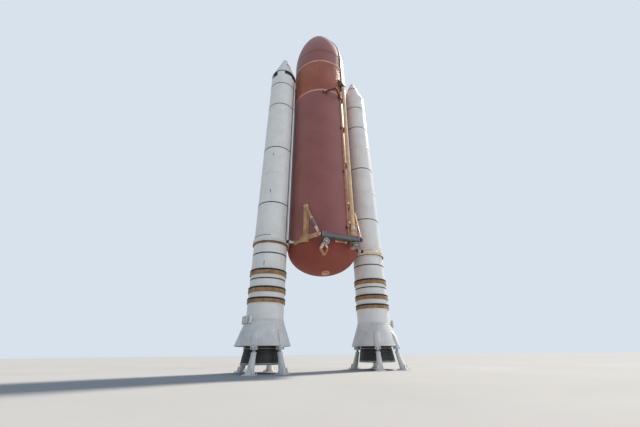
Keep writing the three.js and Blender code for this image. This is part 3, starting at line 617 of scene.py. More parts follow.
def quilted_cloth(name, tone, dirt, pale):
    """Woven silica cloth over felt: a plain weave, dirty in the folds, with a soft sheen."""
    made, tree, shader, spot = material(name, 0.85, Sheen_Weight=0.25)
    # yarns are 1.5 mm apart at full size; drawn as about 25 mm so that the weave shows
    warp = add(tree, "TexWave", {"Vector": spot, "Scale": 125, "Distortion": 0.4},
               bands_direction="X")
    weft = add(tree, "TexWave", {"Vector": spot, "Scale": 125, "Distortion": 0.4},
               bands_direction="Y")
    weave = add(tree, "Math", {0: warp.outputs[1], 1: weft.outputs[1]}, operation="MULTIPLY")
    # smudges are about 450 mm across at full size
    smudge = add(tree, "TexNoise", {"Vector": spot, "Scale": 22, "Detail": 6, "Roughness": 0.65})
    ground = add(tree, "ValToRGB", {"Fac": smudge.outputs[0]},
                 [(0.3, dirt), (0.52, tone), (0.75, pale)])
    woven = add(tree, "Mix", {0: add(tree, "Math", {0: weave.outputs[0], 1: 0.25},
                                     operation="MULTIPLY").outputs[0],
                              6: ground.outputs[0], 7: shade_of(dirt)}, data_type="RGBA")
    tree.links.new(woven.outputs[2], shader.inputs["Base Color"])
    skin = add(tree, "Bump", {"Strength": 0.35, "Distance": 0.0004, "Height": weave.outputs[0]})
    tree.links.new(skin.outputs[0], shader.inputs["Normal"])
    return made


TANK_FOAM = sprayed_foam("sprayed tank foam", "#965550", "#884a46", "#a26059", 0.5)
INTERTANK_FOAM = sprayed_foam("sprayed intertank foam", "#a95a3a", "#984c30", "#b66849", 0.5)
# the dome's foam is a deeper red than the barrel's, made darker still as painted shade for the dome's
# underside
DOME_FOAM = sprayed_foam("sprayed dome foam", "#92493d", "#823f34", "#9e5245", 0.8, 0, 0)
FLANGE_FOAM = trimmed_foam("trimmed flange foam", "#d3a08d", "#b88471", "#e2b8a8")
TAN_FOAM = trimmed_foam("trimmed tan foam", "#c09468", "#a1774f", "#dcb891")
LINE_FOAM = trimmed_foam("bleached feedline foam", "#dcbd92", "#c2a073", "#efdab6")
# the cream foam is also a painted highlight: on the aft tray covers' right sides and along the aft frames'
# long struts
CREAM_FOAM = trimmed_foam("bleached cream foam and painted highlight", "#ecd2c2", "#cfab95", "#f8e8dd")
ROSE_FOAM = trimmed_foam("pinkish strut foam", "#c28e74", "#a47058", "#d8a992")
TRAY_FOAM = trimmed_foam("reddish tray foam", "#b5826a", "#976752", "#ca9b82")
RED_FOAM = trimmed_foam("red-brown fitting foam", "#67352b", "#4c241c", "#7f4c3f")
BEAM_FOAM = trimmed_foam("brown-grey beam foam", "#865a58", "#734b49", "#97706e")
# the olive foam is also painted shade: under the crossbeam, on its lower flange and the strip below it
OLIVE_FOAM = trimmed_foam("weathered olive fairing foam and painted shade", "#5a5647", "#3f3c31", "#75705d")
# the nose cone's composite has weathered to the same pitted, blotched skin as the foam
NOSE_COMPOSITE = trimmed_foam("moulded nose composite", "#9c6450", "#804d3c", "#b07a64")
BOOSTER_WHITE = weathered_enamel("weathered white enamel", "#efeeea", "#e3e3df", "#c7c6c0", 0.42)
POST_WHITE = weathered_enamel("post enamel", "#e0e0dc", "#cbcbc6", "#a39b8e", 0.38, "#7d5f4b")
SKIRT_WHITE = weathered_enamel("skirt enamel", "#e4e4e1", "#d0cfca", "#a8a39a", 0.4)
TRAY_WHITE = weathered_enamel("tray enamel", "#d9d6cd", "#c4c0b5", "#a5a094", 0.45)
CORK = trowelled_ablator("trowelled cork ablator", "#a8835e", "#886643", "#bd9c79")
PINK_CORK = trowelled_ablator("pinkish primed ablator", "#e2c0b2", "#c79a88", "#f1ddd2")
CREAM_CORK = trowelled_ablator("cream primed ablator", "#efd9bd", "#d6b892", "#f9ecd9")
# this dark ablator is also painted shade under the attach rings
DARK_CORK = trowelled_ablator("dark olive ablator and painted shade", "#4d3d2a", "#35291b", "#665340")
# the sealant is also painted shade: on the nose tray's left side and in the post shoes' holes
SEALANT = rolled_sealant("dark joint sealant and painted shade", "#2b3234", "#4b5455")
BLACK_COAT = rolled_sealant("black protective coat", "#15161a", "#2c2e33")
SLATE_STEEL = painted_steel("slate painted steel", "#363d46", "#4b535d", "#7c8388")
BARE_STEEL = painted_steel("galvanised steel", "#7f8486", "#979b9b", "#b9bbba")
ALUMINIUM = machined_aluminium("machined aluminium", "#c9c9c4", "#9c9a92")
PHENOLIC = wrapped_phenolic("carbon phenolic", "#3a3735", "#232120", "#575250")
LINER = wrapped_phenolic("charred nozzle liner", "#2a2726", "#171615", "#3d3938")
CLOTH = quilted_cloth("quilted silica cloth", "#b9b3a3", "#8d8674", "#d2cdc0")


# Tank skins

def ogive_radius(station):
    """The nose curve's radius at a station."""
    drop = max(0.0, OGIVE_END - station)
    return math.sqrt(OGIVE_RADIUS ** 2 - drop ** 2) - (OGIVE_RADIUS - TANK_RADIUS)


def ogive_rows(bottom, top, grown, steps):
    """Rows up the nose curve between two stations, moved outwards by a distance."""
    stations = [bottom + (top - bottom) * i / steps for i in range(steps + 1)]
    return [(ogive_radius(station) + grown, tank_height(station)) for station in stations]


def nose_cone():
    """The small cone at the very top, with a row of fasteners round its foot."""
    base = ogive_radius(NOSE_BASE) - 1
    foot = tank_height(NOSE_BASE)
    cone = spun([
        (0, foot + 0.15),
        (base, foot + 0.15),
        (base, foot + 3),
        (base - 1.2, foot + 4),
        (26, tank_height(358)),
        (17.5, tank_height(347.5)),
        (11, tank_height(338)),
        (7.6, tank_height(332.5)),
        (5, tank_height(328)),
        (2.6, tank_height(325.4)),
        (1.6, tank_height(324.4)),
        (1.5, tank_height(NOSE_TIP)),
        (0, tank_height(NOSE_TIP)),
    ], 64)
    fasteners = stud_row(36, base + 0.1, foot + 1.6, 0.7, 0.8)
    new_piece("nose_cone_shell", gather(cone, coated(fasteners, 1)), [NOSE_COMPOSITE, BARE_STEEL],
              ["tank_nose_cone"])


def oxygen_tank():
    """The upper tank: a straight barrel under a long nose curve, with a weld seam."""
    skin = spun([
        (0, tank_height(INTERTANK_TOP)),
        (TANK_RADIUS, tank_height(INTERTANK_TOP)),
        *ogive_rows(OGIVE_END, NOSE_BASE, 0, 56),
        (0, tank_height(NOSE_BASE)),
    ], TANK_SIDES)
    new_piece("oxygen_tank_skin", skin, [TANK_FOAM], ["oxygen_tank"])
    top, bottom = (tank_height(station) for station in WELD_SEAM)
    seam = band(TANK_RADIUS, 0.35, top, bottom, 0.3, TANK_SIDES)
    new_piece("ogive_weld_seam", seam, [RED_FOAM])


def flange_closeout(name, station):
    """A band of foam over one of the flanges that the intertank is bolted by."""
    top = tank_height(station - FLANGE_BAND / 2)
    foam = band(TANK_RADIUS, FLANGE_RISE, top, top - FLANGE_BAND, 1.2, TANK_SIDES, 4)
    new_piece(name, foam, [FLANGE_FOAM])


def stringer(azimuth, width, foot, top):
    """One upright hat section under foam, tapered at both ends."""
    rise = RIB_RADIUS + 0.1
    inner = RIB_RADIUS - RIB_RISE - 1.2
    return slab([
        (inner, foot),
        (rise - 1.2, foot + 0.5),
        (rise, foot + 5),
        (rise, top - 5),
        (rise - 1.2, top - 0.5),
        (inner, top),
    ], width, azimuth, 0.19 * width)


def intertank():
    """A barrel with stringers all round, closer together on its two thrust panels."""
    foot, top = tank_height(INTERTANK_BOTTOM) + 0.2, tank_height(INTERTANK_TOP) - 0.2
    inner = RIB_RADIUS - RIB_RISE
    skin = spun([(0, foot), (inner, foot), (inner, top), (0, top)], TANK_SIDES)
    ribs = []
    pitch = 360 / STRINGERS["count"]
    for i in range(STRINGERS["count"]):
        azimuth = (i + 0.5) * pitch
        beside = abs(abs((azimuth + 180) % 360 - 180) - 90)
        if beside > THRUST_PANEL["half_angle"]:
            ribs.append(stringer(azimuth, STRINGERS["width"], foot, top))
    for side in HANDS.values():
        for i in range(THRUST_PANEL["ribs"]):
            reach = THRUST_PANEL["half_angle"] * (2 * (i + 0.5) / THRUST_PANEL["ribs"] - 1)
            ribs.append(stringer(side * 90 + reach, THRUST_PANEL["rib_width"], foot, top))
    new_piece("intertank_stringers", gather(skin, *ribs), [INTERTANK_FOAM],
              ["intertank"])


def hydrogen_tank():
    """The long plain barrel of the lower tank."""
    top = tank_height(INTERTANK_BOTTOM)
    skin = spun([
        (0, tank_height(DOME_TOP)),
        (TANK_RADIUS, tank_height(DOME_TOP)),
        (TANK_RADIUS, top - FLANGE_BAND),
        (TANK_RADIUS, top),
        (0, top),
    ], TANK_SIDES)
    new_piece("hydrogen_tank_skin", skin, [TANK_FOAM], ["hydrogen_tank"])


def aft_dome():
    """The dome under the lower tank, its rim's closeout and the manhole's cover."""
    rim = tank_height(DOME_TOP) - GAP
    rows = [(0, rim - DOME_DEPTH)]
    steps = 44
    for i in range(1, steps + 1):
        angle = math.pi / 2 * (1 - i / steps)
        rows.append((DOME_RADIUS * math.cos(angle), rim - DOME_DEPTH * math.sin(angle)))
    rows.append((0, rim))
    new_piece("aft_dome_skin", spun(rows, TANK_SIDES), [DOME_FOAM], ["tank_aft_dome"])
    closeout = band(DOME_RADIUS - 1.5, 2.2, rim - 1, rim - 9, 1.0, TANK_SIDES, 3)
    new_piece("dome_rim_closeout", closeout, [DOME_FOAM])
    top, bottom = tank_height(DOME_TOP + DOME_DEPTH * 0.93), tank_height(DOME_TOP + DOME_DEPTH + 3)
    out = MANHOLE["out"]
    cover = gather(
        rod((0, MANHOLE["lean"] - out, top), (0, -out, bottom), MANHOLE["radius"], sides=64, soft=1.6),
        rod((0, -out, bottom + 1), (0, -out, bottom - 0.9), MANHOLE["rim"], sides=64, soft=0.5),
        rod((0, -out, bottom), (0, -out, bottom - 2), 4, sides=32, soft=0.5),
    )
    new_piece("manhole_cover_foam", cover, [FLANGE_FOAM], ["aft_manhole_cover"])


# Lines down the tank

def at_feedline(away, station):
    """The point at the feedline's azimuth, this far from the axis, at a station."""
    return facing(FEEDLINE["azimuth"], away, tank_height(station))


def foam_ramp(azimuth, station, width, length, rise, soft=1.0):
    """A wedge of foam on the skin that sheds ice from a bracket below it."""
    foot, top = tank_height(station) - length * 0.35, tank_height(station) + length * 0.65
    return slab([
        (TANK_RADIUS - 2, foot),
        (TANK_RADIUS + rise, foot),
        (TANK_RADIUS + rise, foot + length * 0.35),
        (TANK_RADIUS + 0.2, top),
        (TANK_RADIUS - 2, top),
    ], width, azimuth, soft)


def feedline():
    """The oxygen line down the tank's front, with its elbow, bands and brackets."""
    side, out, station = UMBILICAL["side"], UMBILICAL["out"], UMBILICAL["station"]
    entry = Vector((side, -out + UMBILICAL["length"] / 2, tank_height(station)))
    route = rounded([
        at_feedline(FEEDLINE["away"], FAIRING["bottom"]),
        at_feedline(FEEDLINE["away"], FEEDLINE["bottom"]),
        entry + Vector((0, 23, 0)),
        entry + Vector((0, 0.2, 0)),
    ], 9)
    line = piped(route, FEEDLINE["radius"], 9)
    for face in line.faces:
        if face.calc_center_median().z < tank_height(FEEDLINE["elbow"]):
            face.material_index = 2
    shapes = [line]
    for station, height, rise in FEEDLINE_BANDS:
        top = at_feedline(FEEDLINE["away"], station)
        radius = FEEDLINE["radius"] + rise
        shapes.append(coated(rod(top, top - Vector((0, 0, height)), radius, sides=40, soft=0.6), 1))
    new_piece("feedline_foam", gather(*shapes), [LINE_FOAM, CREAM_FOAM, ROSE_FOAM],
              ["oxygen_feedline"])

    brackets = []
    for station in FEEDLINE_BRACKETS:
        height = tank_height(station)
        brackets.append(coated(foam_ramp(FEEDLINE["azimuth"], station, 24, 30, 5.5), 1))
        collar = rod((0, -FEEDLINE["away"], height - 2.4), (0, -FEEDLINE["away"], height + 2.4),
                     FEEDLINE["radius"] + 0.9, sides=40, soft=0.5)
        brackets.append(coated(turned(collar, FEEDLINE["azimuth"]), 2))
        for lean in (-1, 1):
            arm = rod((lean * 9.5, -TANK_RADIUS - 3, height), (lean * 8.5, -FEEDLINE["away"], height),
                      1.7, sides=12, soft=0.3)
            brackets.append(turned(arm, FEEDLINE["azimuth"]))
            lug = block((4.2, 6, 7), (lean * 10, -TANK_RADIUS - 3, height), 0.8)
            brackets.append(turned(lug, FEEDLINE["azimuth"]))
    new_piece("feedline_brackets", gather(*brackets), [RED_FOAM, TAN_FOAM, LINE_FOAM])


def feedline_fairing():
    """The sloped fairing that the feedline comes out of, with its straps and bolts."""
    outer = FEEDLINE["away"] + FEEDLINE["radius"] + FAIRING["proud"]
    foot, top = tank_height(FAIRING["bottom"]), tank_height(FAIRING["top"])
    lip, shoulder = TANK_RADIUS + FAIRING["lip"], foot + FAIRING["slope"]
    hump = slab([
        (TANK_RADIUS - 4, foot),
        (outer, foot),
        (outer, shoulder),
        (lip, top),
        (TANK_RADIUS - 4, top),
    ], FAIRING["width"])
    # the hump narrows as it stands out from the tank
    base = TANK_RADIUS + 4
    for vert in hump.verts:
        if -vert.co.y > base:
            vert.co.x *= 1 - 0.3 * (-vert.co.y - base) / (outer - base)
    hump = turned(softened(hump, 4.5, 5), FAIRING["azimuth"])
    lean = math.atan2(outer - lip, top - shoulder)
    seams = []
    for share in (0.25, 0.6):
        strap = block((FAIRING["width"] * (0.8 - 0.2 * share), 1.6, 3), (0, 0, 0), 0.4)
        spot = Matrix.Translation((0, -(lip + (outer - lip) * share), top + (shoulder - top) * share))
        bmesh.ops.transform(strap, matrix=spot @ Matrix.Rotation(-lean, 4, "X"), verts=strap.verts)
        seams.append(coated(turned(strap, FAIRING["azimuth"]), 1))
    skirt = block((FAIRING["width"] * 0.7, 26, 5), (0, -TANK_RADIUS - 9, foot + 2.2), 1.2)
    seams.append(coated(turned(skirt, FAIRING["azimuth"]), 1))
    bolts = []
    for edge in (-1, 1):
        for i in range(5):
            spot = Vector((edge * (FAIRING["width"] / 2 + 0.2), -TANK_RADIUS - 5, foot + 5 + i * 9))
            bolts.append((turn(FAIRING["azimuth"]) @ spot, turn(FAIRING["azimuth"]) @ Vector((edge, 0, 0))))
    new_piece("feedline_fairing_shell", gather(hump, *seams, coated(studs(bolts, 0.9, 1.2), 1)),
              [OLIVE_FOAM, RED_FOAM], ["feedline_fairing"])


def nose_tray():
    """The cable tray up the nose curve, its clips and the vent line beside it."""
    foot = tank_height(FAIRING["top"]) + GAP
    top = NOSE_TRAY["top"]
    outer = [(TANK_RADIUS + TRAY["rise"], foot), *ogive_rows(OGIVE_END, top, TRAY["rise"], 26)]
    inner = [*reversed(ogive_rows(OGIVE_END, top, -2, 26)), (TANK_RADIUS - 2, foot)]
    cover = slab(outer + inner, TRAY["width"])
    # the tray's left side, away from the key lamp, takes the dark sealant: painted shade along that side
    for face in cover.faces:
        face.material_index = 1 if face.calc_center_median().x < -TRAY["width"] * 0.45 else 0
    cover = turned(softened(cover, 0.7), NOSE_TRAY["azimuth"])
    clips = []
    for station in NOSE_TRAY["clips"]:
        radius = ogive_radius(station)
        lean = math.asin(max(0, OGIVE_END - station) / OGIVE_RADIUS)
        clip = block((TRAY["width"] + 4, TRAY["rise"] + 1.6, 3.6), (0, 0, 0), 0.5)
        place = Matrix.Translation((0, -radius - 2.2, tank_height(station)))
        bmesh.ops.transform(clip, matrix=place @ Matrix.Rotation(-lean, 4, "X"), verts=clip.verts)
        clips.append(turned(clip, NOSE_TRAY["azimuth"]))
    new_piece("nose_tray_cover", gather(cover, *clips), [TRAY_WHITE, SEALANT],
              ["nose_cable_tray"])

    beside = NOSE_TRAY["azimuth"] + 3.1
    rows = ogive_rows(OGIVE_END, top, 2.2, 26)
    route = [facing(beside, TANK_RADIUS + 2.2, foot)]
    route += [facing(beside, radius, height) for radius, height in rows]
    new_piece("nose_vent_line", piped(route, 1.5, 4), [RED_FOAM])


def aft_tray():
    """The cable tray down the lower tank, and the pressure line beside it."""
    top = tank_height(TRAY["top"])
    bottom = tank_height(FEEDLINE["bottom"])
    covers = []
    length = (top - bottom) / TRAY["covers"]
    for i in range(TRAY["covers"]):
        middle = bottom + (i + 0.5) * length
        cover = block((TRAY["width"], TRAY["rise"] + 2, length - 0.7),
                      (0, -TANK_RADIUS - TRAY["rise"] / 2 + 1, middle), 0.7)
        # each cover's right side, towards the key lamp, is cream and its other faces reddish: a painted
        # highlight along the lit side
        for face in cover.faces:
            face.material_index = 0 if face.calc_center_median().x > TRAY["width"] * 0.42 else 2
        covers.append(cover)
        strap = block((TRAY["width"] + 3.4, TRAY["rise"] + 2.5, 2.2),
                      (0, -TANK_RADIUS - TRAY["rise"] / 2 + 1, middle - length / 2), 0.4)
        covers.append(coated(strap, 1))
    tray = turned(gather(*covers), TRAY["azimuth"])
    new_piece("aft_tray_covers", tray, [CREAM_FOAM, TAN_FOAM, TRAY_FOAM],
              ["aft_cable_tray"])

    line_azimuth = TRAY["azimuth"] + 2.7
    lines = [rod(facing(line_azimuth, TANK_RADIUS + 2.6, bottom + 10),
                 facing(line_azimuth, TANK_RADIUS + 2.6, top - 4), 1.2, sides=12)]
    for station in PRESSURE_LINE_RAMPS:
        lines.append(foam_ramp(line_azimuth, station, 5, 9, 3.6, 0.5))
    for station in TRAY_RAMPS:
        lines.append(coated(foam_ramp(TRAY["azimuth"] - 2.3, station, 8, 20, 7, 0.8), 1))
    new_piece("pressure_line", gather(*lines), [TRAY_FOAM, RED_FOAM])


# Bipod

def bipod():
    """The forward fitting: a yoke on two level struts that spread towards the tank."""
    height = tank_height(BIPOD["station"])
    apex = facing(BIPOD["facing"], BIPOD["apex"], height)
    across, out = Vector((9, 0, 0)), Vector((0, -5, 0))
    # the yoke at the apex, with its pin and its round fitting
    shapes = [
        block((16, 8, 12), apex, 1.6, 3),
        block((9, 5, 17), apex + Vector((0, 1, 0)), 1.0),
        coated(rod(apex - across, apex + across, 2.6, sides=20, soft=0.4), 1),
        coated(rod(apex, apex + out, 4, sides=24, soft=0.5), 2),
    ]
    # a strut with an end fitting at each end, on a foot among foam ramps
    for side in HANDS.values():
        azimuth = BIPOD["facing"] + side * BIPOD["spread"]
        foot = facing(azimuth, TANK_RADIUS + 3, height)
        tip = apex + Vector((side * 4, 0, 0))
        run = (tip - foot).normalized()
        shapes.append(rod(foot, tip, BIPOD["radius"], sides=24))
        shapes.append(rod(foot + run * 6, foot + run * 13, 6.4, 5.4, sides=24, soft=0.4))
        shapes.append(rod(tip - run * 7, tip, 5.8, sides=24, soft=0.5))
        shapes.append(rod(facing(azimuth, TANK_RADIUS - 2, height),
                          facing(azimuth, TANK_RADIUS + 8, height), 8, 6.4, sides=32, soft=1.2))
        shapes.append(foam_ramp(azimuth, BIPOD["station"] - 2, 20, 22, 6, 2.4))
        for spread in (-3.4, 3.4):
            shapes.append(foam_ramp(azimuth + spread, BIPOD["station"] + 8, 5, 26, 4.4, 1.2))
        cap = facing(azimuth, TANK_RADIUS + 7.6, height)
        shapes.append(coated(rod(cap, cap + facing(azimuth, 1.6, 0), 4.2, sides=24, soft=0.4), 1))
    new_piece("bipod_struts", gather(*shapes), [RED_FOAM, PINK_CORK, ALUMINIUM],
              ["bipod"])


# Aft frames, crossbeam and umbilicals

def aft_frame(hand, side):
    """A longeron and two struts that end in a ball, on one side of the front."""
    steel, cork, red, cream, rose = range(1, 6)
    ball = Vector((side * BALL["side"], -BALL["out"], tank_height(BALL["station"])))
    azimuth = side * LONGERON["azimuth"]
    foot, top = tank_height(LONGERON["bottom"]), tank_height(LONGERON["top"])
    rise = TANK_RADIUS + LONGERON["rise"]
    width = LONGERON["width"]
    # the longeron: a spine between two lower flanges, with ribs across them
    shapes = [slab([
        (TANK_RADIUS - 3, foot),
        (rise, foot),
        (rise, top - 12),
        (rise - 3, top),
        (TANK_RADIUS - 3, top),
    ], width * 0.56, azimuth, 1.2)]
    for edge, drop in ((-1, 4), (1, 13)):
        flange = slab([
            (TANK_RADIUS - 6, foot),
            (TANK_RADIUS + 5.5, foot),
            (TANK_RADIUS + 5.5, top - drop - 16),
            (TANK_RADIUS + 1.0, top - drop),
            (TANK_RADIUS - 6, top - drop),
        ], width * 0.27, 0, 0.8)
        bmesh.ops.translate(flange, vec=(edge * width * 0.365, 0, 0), verts=flange.verts)
        shapes.append(turned(flange, azimuth))
    for i in range(LONGERON["ribs"]):
        height = foot + 52 + i * LONGERON["rib_pitch"]
        rib = block((width * 0.96, 3.4, 2.4), (0, -TANK_RADIUS - 5.0, height), 0.6)
        shapes.append(turned(rib, azimuth))

    # the gusset and the ring frame's blocks beside the longeron's foot
    corners = [(side * along, 6 - TANK_RADIUS, foot + up)
               for along, up in ((0, 0), (GUSSET["width"], 0), (0, GUSSET["height"]))]
    gusset = pushed(corners, (0, -GUSSET["rise"] - 6, 0), 1.4)
    shapes.append(turned(gusset, side * GUSSET["azimuth"]))
    depth = RING_BLOCKS["rise"] + 8
    for spread in RING_BLOCKS["azimuths"]:
        ring_block = block((RING_BLOCKS["width"], depth, RING_BLOCKS["height"]),
                           (0, -TANK_RADIUS + 8 - depth / 2, foot + RING_BLOCKS["height"] / 2), 1.6, 3)
        shapes.append(turned(ring_block, side * spread))

    # the long strut: tan foam, a steel middle with a cream collar and a cream strip down its right side that
    # is a painted highlight, a pinkish lower end
    shoulder = facing(azimuth, TANK_RADIUS + 5, top - 10)
    run = ball - shoulder
    along = run.normalized()
    beside = along.cross(Vector((0, 1, 0))).normalized() * 3.8
    split, lower = shoulder + run * 0.46, shoulder + run * 0.78
    shapes += [
        rod(shoulder, split, 6.4, 5.8, 28),
        coated(rod(split, lower, 5.2, sides=28), steel),
        coated(rod(split + beside, lower + beside, 2.9, sides=12), cream),
        coated(rod(lower, ball, 6.0, 5, 28), cork),
        coated(rod(split - along * 4, split + along * 1.5, 6.9, sides=28, soft=0.6), cream),
        coated(rod(lower - along * 1.5, lower + along * 4, 6.8, sides=28, soft=0.6), cork),
    ]

    # the clevis at its upper end, and the pin through it
    clevis = block((13, 9, 22), (0, -TANK_RADIUS - 5.5, top - 9), 1.6)
    pin = [facing(azimuth + spread, TANK_RADIUS + 6, top - 9) for spread in (-3.4, 3.4)]
    shapes += [turned(clevis, azimuth), coated(rod(*pin, 5, sides=24, soft=0.6), cream)]

    # the foot strut from the ring frame, and the ball they both end in
    root = facing(side * (LONGERON["azimuth"] - 2), TANK_RADIUS + 1, tank_height(BALL["station"] - 14))
    reach = ball - root
    shapes += [
        coated(rod(root, ball, 12, 7, 32, 0.6), rose),
        rod(root + reach * 0.1, root + reach * 0.2, 12.4, 11.8, 32, 0.5),
        coated(rod(root + reach * 0.74, root + reach * 0.82, 9.2, 8.7, 32, 0.5), cork),
        coated(sphere(ball, BALL["radius"]), 0 if hand == "left" else red),
    ]
    for lift in (-7.5, 7.5):
        cheek = rod(ball + Vector((0, -2, lift)), ball + Vector((0, 2, lift)), 4.5, sides=20, soft=0.5)
        shapes.append(coated(cheek, red))
    new_piece(f"aft_frame_{hand}_foam", gather(*shapes),
              [TAN_FOAM, SLATE_STEEL, PINK_CORK, RED_FOAM, CREAM_FOAM, ROSE_FOAM],
              [f"aft_frame_{hand}"])


def crossbeam():
    """The beam between the two balls, and what is fixed to it."""
    bright, brown, olive = range(1, 4)
    reach = BALL["side"] - BALL["radius"] - 0.3
    centre = Vector((0, -BALL["out"], tank_height(BALL["station"])))
    depth, height = CROSSBEAM["depth"], CROSSBEAM["height"]
    shapes = [block((2 * reach, depth - 2.4, height - 2), centre, 0.5)]
    # the upper flange is in brown foam; the lower flange is dark olive, painted shade for the beam's
    # underside
    for lift, tall, finish in ((1, 7, brown), (-1, 1.6, olive)):
        flange = centre + Vector((0, 0, lift * (height - tall) / 2))
        shapes.append(coated(block((2 * reach, depth, tall), flange, 0.5), finish))
    bays = CROSSBEAM["bays"]
    for i in range(bays + 1):
        x = -reach + 1 + i * (2 * reach - 2) / bays
        shapes.append(block((1.6, depth - 0.6, height - 4), centre + Vector((x, 0, -0.4)), 0.3))
    shapes.append(block((2 * reach, 1.8, 3), centre + Vector((0, -depth / 2 + 0.9, -1)), 0.4))
    for end in (-1, 1):
        cleat = centre + Vector((end * (reach - 4), 0, 0))
        shapes.append(block((8, depth + 0.6, height), cleat, 0.8))
        spots = [(cleat + Vector((dx, -depth / 2 - 0.5, dz)), (0, -1, 0))
                 for dx in (-2.4, 2.4) for dz in (-6, 0, 6)]
        shapes.append(coated(studs(spots, 1.0, 1.0), bright))
    # a dark olive strip hung under the beam: painted shadow beneath its lower flange
    shadow_strip = centre - Vector((0, 0, height / 2 + 1.4))
    shapes.append(coated(block((2 * reach - 6, depth - 2, 3.4), shadow_strip, 0.6), olive))
    # a dark bracket under the left end, beside the ball
    bracket = centre + Vector((4 - reach, 0, -height / 2 - 3.5))
    shapes.append(coated(block((11, depth - 6, 9), bracket, 1.2), olive))
    # boxes and clamps stand on the beam over the left umbilical
    for x, wide, tall in ((-80, 8, 4.5), (-68, 11, 6), (-55, 7, 4)):
        clamp = centre + Vector((x, -0.5, height / 2 + tall / 2 - 0.6))
        shapes.append(coated(block((wide, depth - 5, tall), clamp, 0.8), brown))
    new_piece("crossbeam_flanges", gather(*shapes),
              [SLATE_STEEL, BARE_STEEL, BEAM_FOAM, OLIVE_FOAM], ["crossbeam"])


def umbilical(hand, side):
    """A round fitting whose plate faces forwards, with its latches and bolts."""
    metal, dark, cork, cream, olive = range(5)
    x, y, z = side * UMBILICAL["side"], -UMBILICAL["out"], tank_height(UMBILICAL["station"])
    half = UMBILICAL["length"] / 2
    radius = UMBILICAL["radius"]
    centre = Vector((x, y, z))

    def drum(front, back, size, finish, soft=0.5):
        """A round part between two distances behind the fitting's front face."""
        start, end = centre + Vector((0, front - half, 0)), centre + Vector((0, back - half, 0))
        return coated(rod(start, end, size, sides=56, soft=soft), finish)

    shapes = [
        drum(1, 2 * half, radius - 1.6, metal),
        drum(0, 3.4, radius, metal, 0.8),
        drum(2 * half - 4, 2 * half, radius, metal, 0.8),
        drum(7.5, 9, radius - 0.7, cork),
        drum(-0.15, 1, radius * 0.74, dark, 0.2),
        drum(-0.3, 1, radius * 0.42, cream, 0.2),
        drum(-0.45, 1, radius * 0.16, dark, 0.1),
        block((12, 10, 12), (x, y, tank_height(BALL["station"] + 15)), 1.0),
        coated(block((20, 5, 4), (x, y + 3, z + radius - 0.4), 0.6), cork),
    ]
    # dark latches round the plate and a bracket on each side
    for i in range(UMBILICAL["latches"]):
        lean = Matrix.Rotation(math.tau * (i + 0.5) / UMBILICAL["latches"], 4, "Y")
        latch = block((3.4, 4.6, 5), (0, 2.6 - half, radius + 0.8), 0.6)
        bmesh.ops.transform(latch, matrix=Matrix.Translation(centre) @ lean, verts=latch.verts)
        shapes.append(coated(latch, olive))
    for edge in (-1, 1):
        shapes.append(coated(block((3, 11, 9), (x + edge * (radius + 1), y + 3, z), 0.6), olive))
    spots = []
    for i in range(UMBILICAL["bolts"]):
        angle = math.tau * i / UMBILICAL["bolts"]
        spot = centre + Vector((math.cos(angle), 0, math.sin(angle))) * (radius - 1.7)
        spots.append((spot - Vector((0, half + 0.3, 0)), (0, -1, 0)))
    shapes.append(studs(spots, 0.8, 0.9))
    body = ALUMINIUM if hand == "left" else BARE_STEEL
    finishes = [body, SEALANT, PINK_CORK, CREAM_FOAM, OLIVE_FOAM]
    new_piece(f"umbilical_{hand}_plate", gather(*shapes), finishes,
              [f"umbilical_{hand}"])


def hydrogen_lines():
    """The feedline and the smaller line beside it, from the left umbilical round to the dome."""
    shapes = []
    for radius, points in HYDROGEN_LINES:
        corners = [Vector((-across, -out, tank_height(station))) for across, out, station in points]
        corners[0].y += GAP
        pipe = piped(rounded(corners, 8), radius, 8)
        for face in pipe.faces:
            face.material_index = 0 if face.calc_center_median().y < -BLEACHED_OUT else 1
        shapes.append(pipe)
        bend, far = corners[2], corners[3]
        along = (far - bend).normalized()
        for share in (0.35, 0.75):
            spot = bend.lerp(far, share)
            shapes.append(coated(rod(spot - along * 1.6, spot + along * 1.6, radius + 1.1, sides=40,
                                     soft=0.5), 2))
    new_piece("hydrogen_line_foam", gather(*shapes), [CREAM_FOAM, ROSE_FOAM, TAN_FOAM],
              ["hydrogen_feedline"])

    # a thin cross line under the beam, clipped up to it
    height, y = tank_height(CROSS_LINE_STATION), -BALL["out"] + 10
    line = [rod((-18, y, height), (27, y, height), 3, sides=24, soft=0.8)]
    for x in (-14, 4, 22):
        line.append(block((2.6, 3, 16), (x, y - 2, height + 6), 0.5))
    line.append(coated(block((7, 8, 9), (-17, y, height), 1.0), 1))
    line.append(coated(rod((26, y, height), (31, y, height), 4, sides=24, soft=0.8), 2))
    line.append(coated(block((16, 8, 8), (40, y + 2, height + 1), 1.2), 3))
    new_piece("beam_cross_line", gather(*line), [ROSE_FOAM, TAN_FOAM, CREAM_FOAM, RED_FOAM])


# Boosters

def casing_band(rise, top, bottom, soft, finish=0):
    """A band round a booster's casing, in one of its piece's finishes."""
    return coated(band(BOOSTER_RADIUS, rise, top, bottom, soft, BOOSTER_SIDES), finish)


def painted_patch(shape, finish, low, high, start, end):
    """Faces between two heights and two azimuths take a finish."""
    for face in shape.faces:
        middle = face.calc_center_median()
        azimuth = math.degrees(math.atan2(middle.x, -middle.y))
        if low < middle.z < high and start < azimuth < end:
            face.material_index = finish


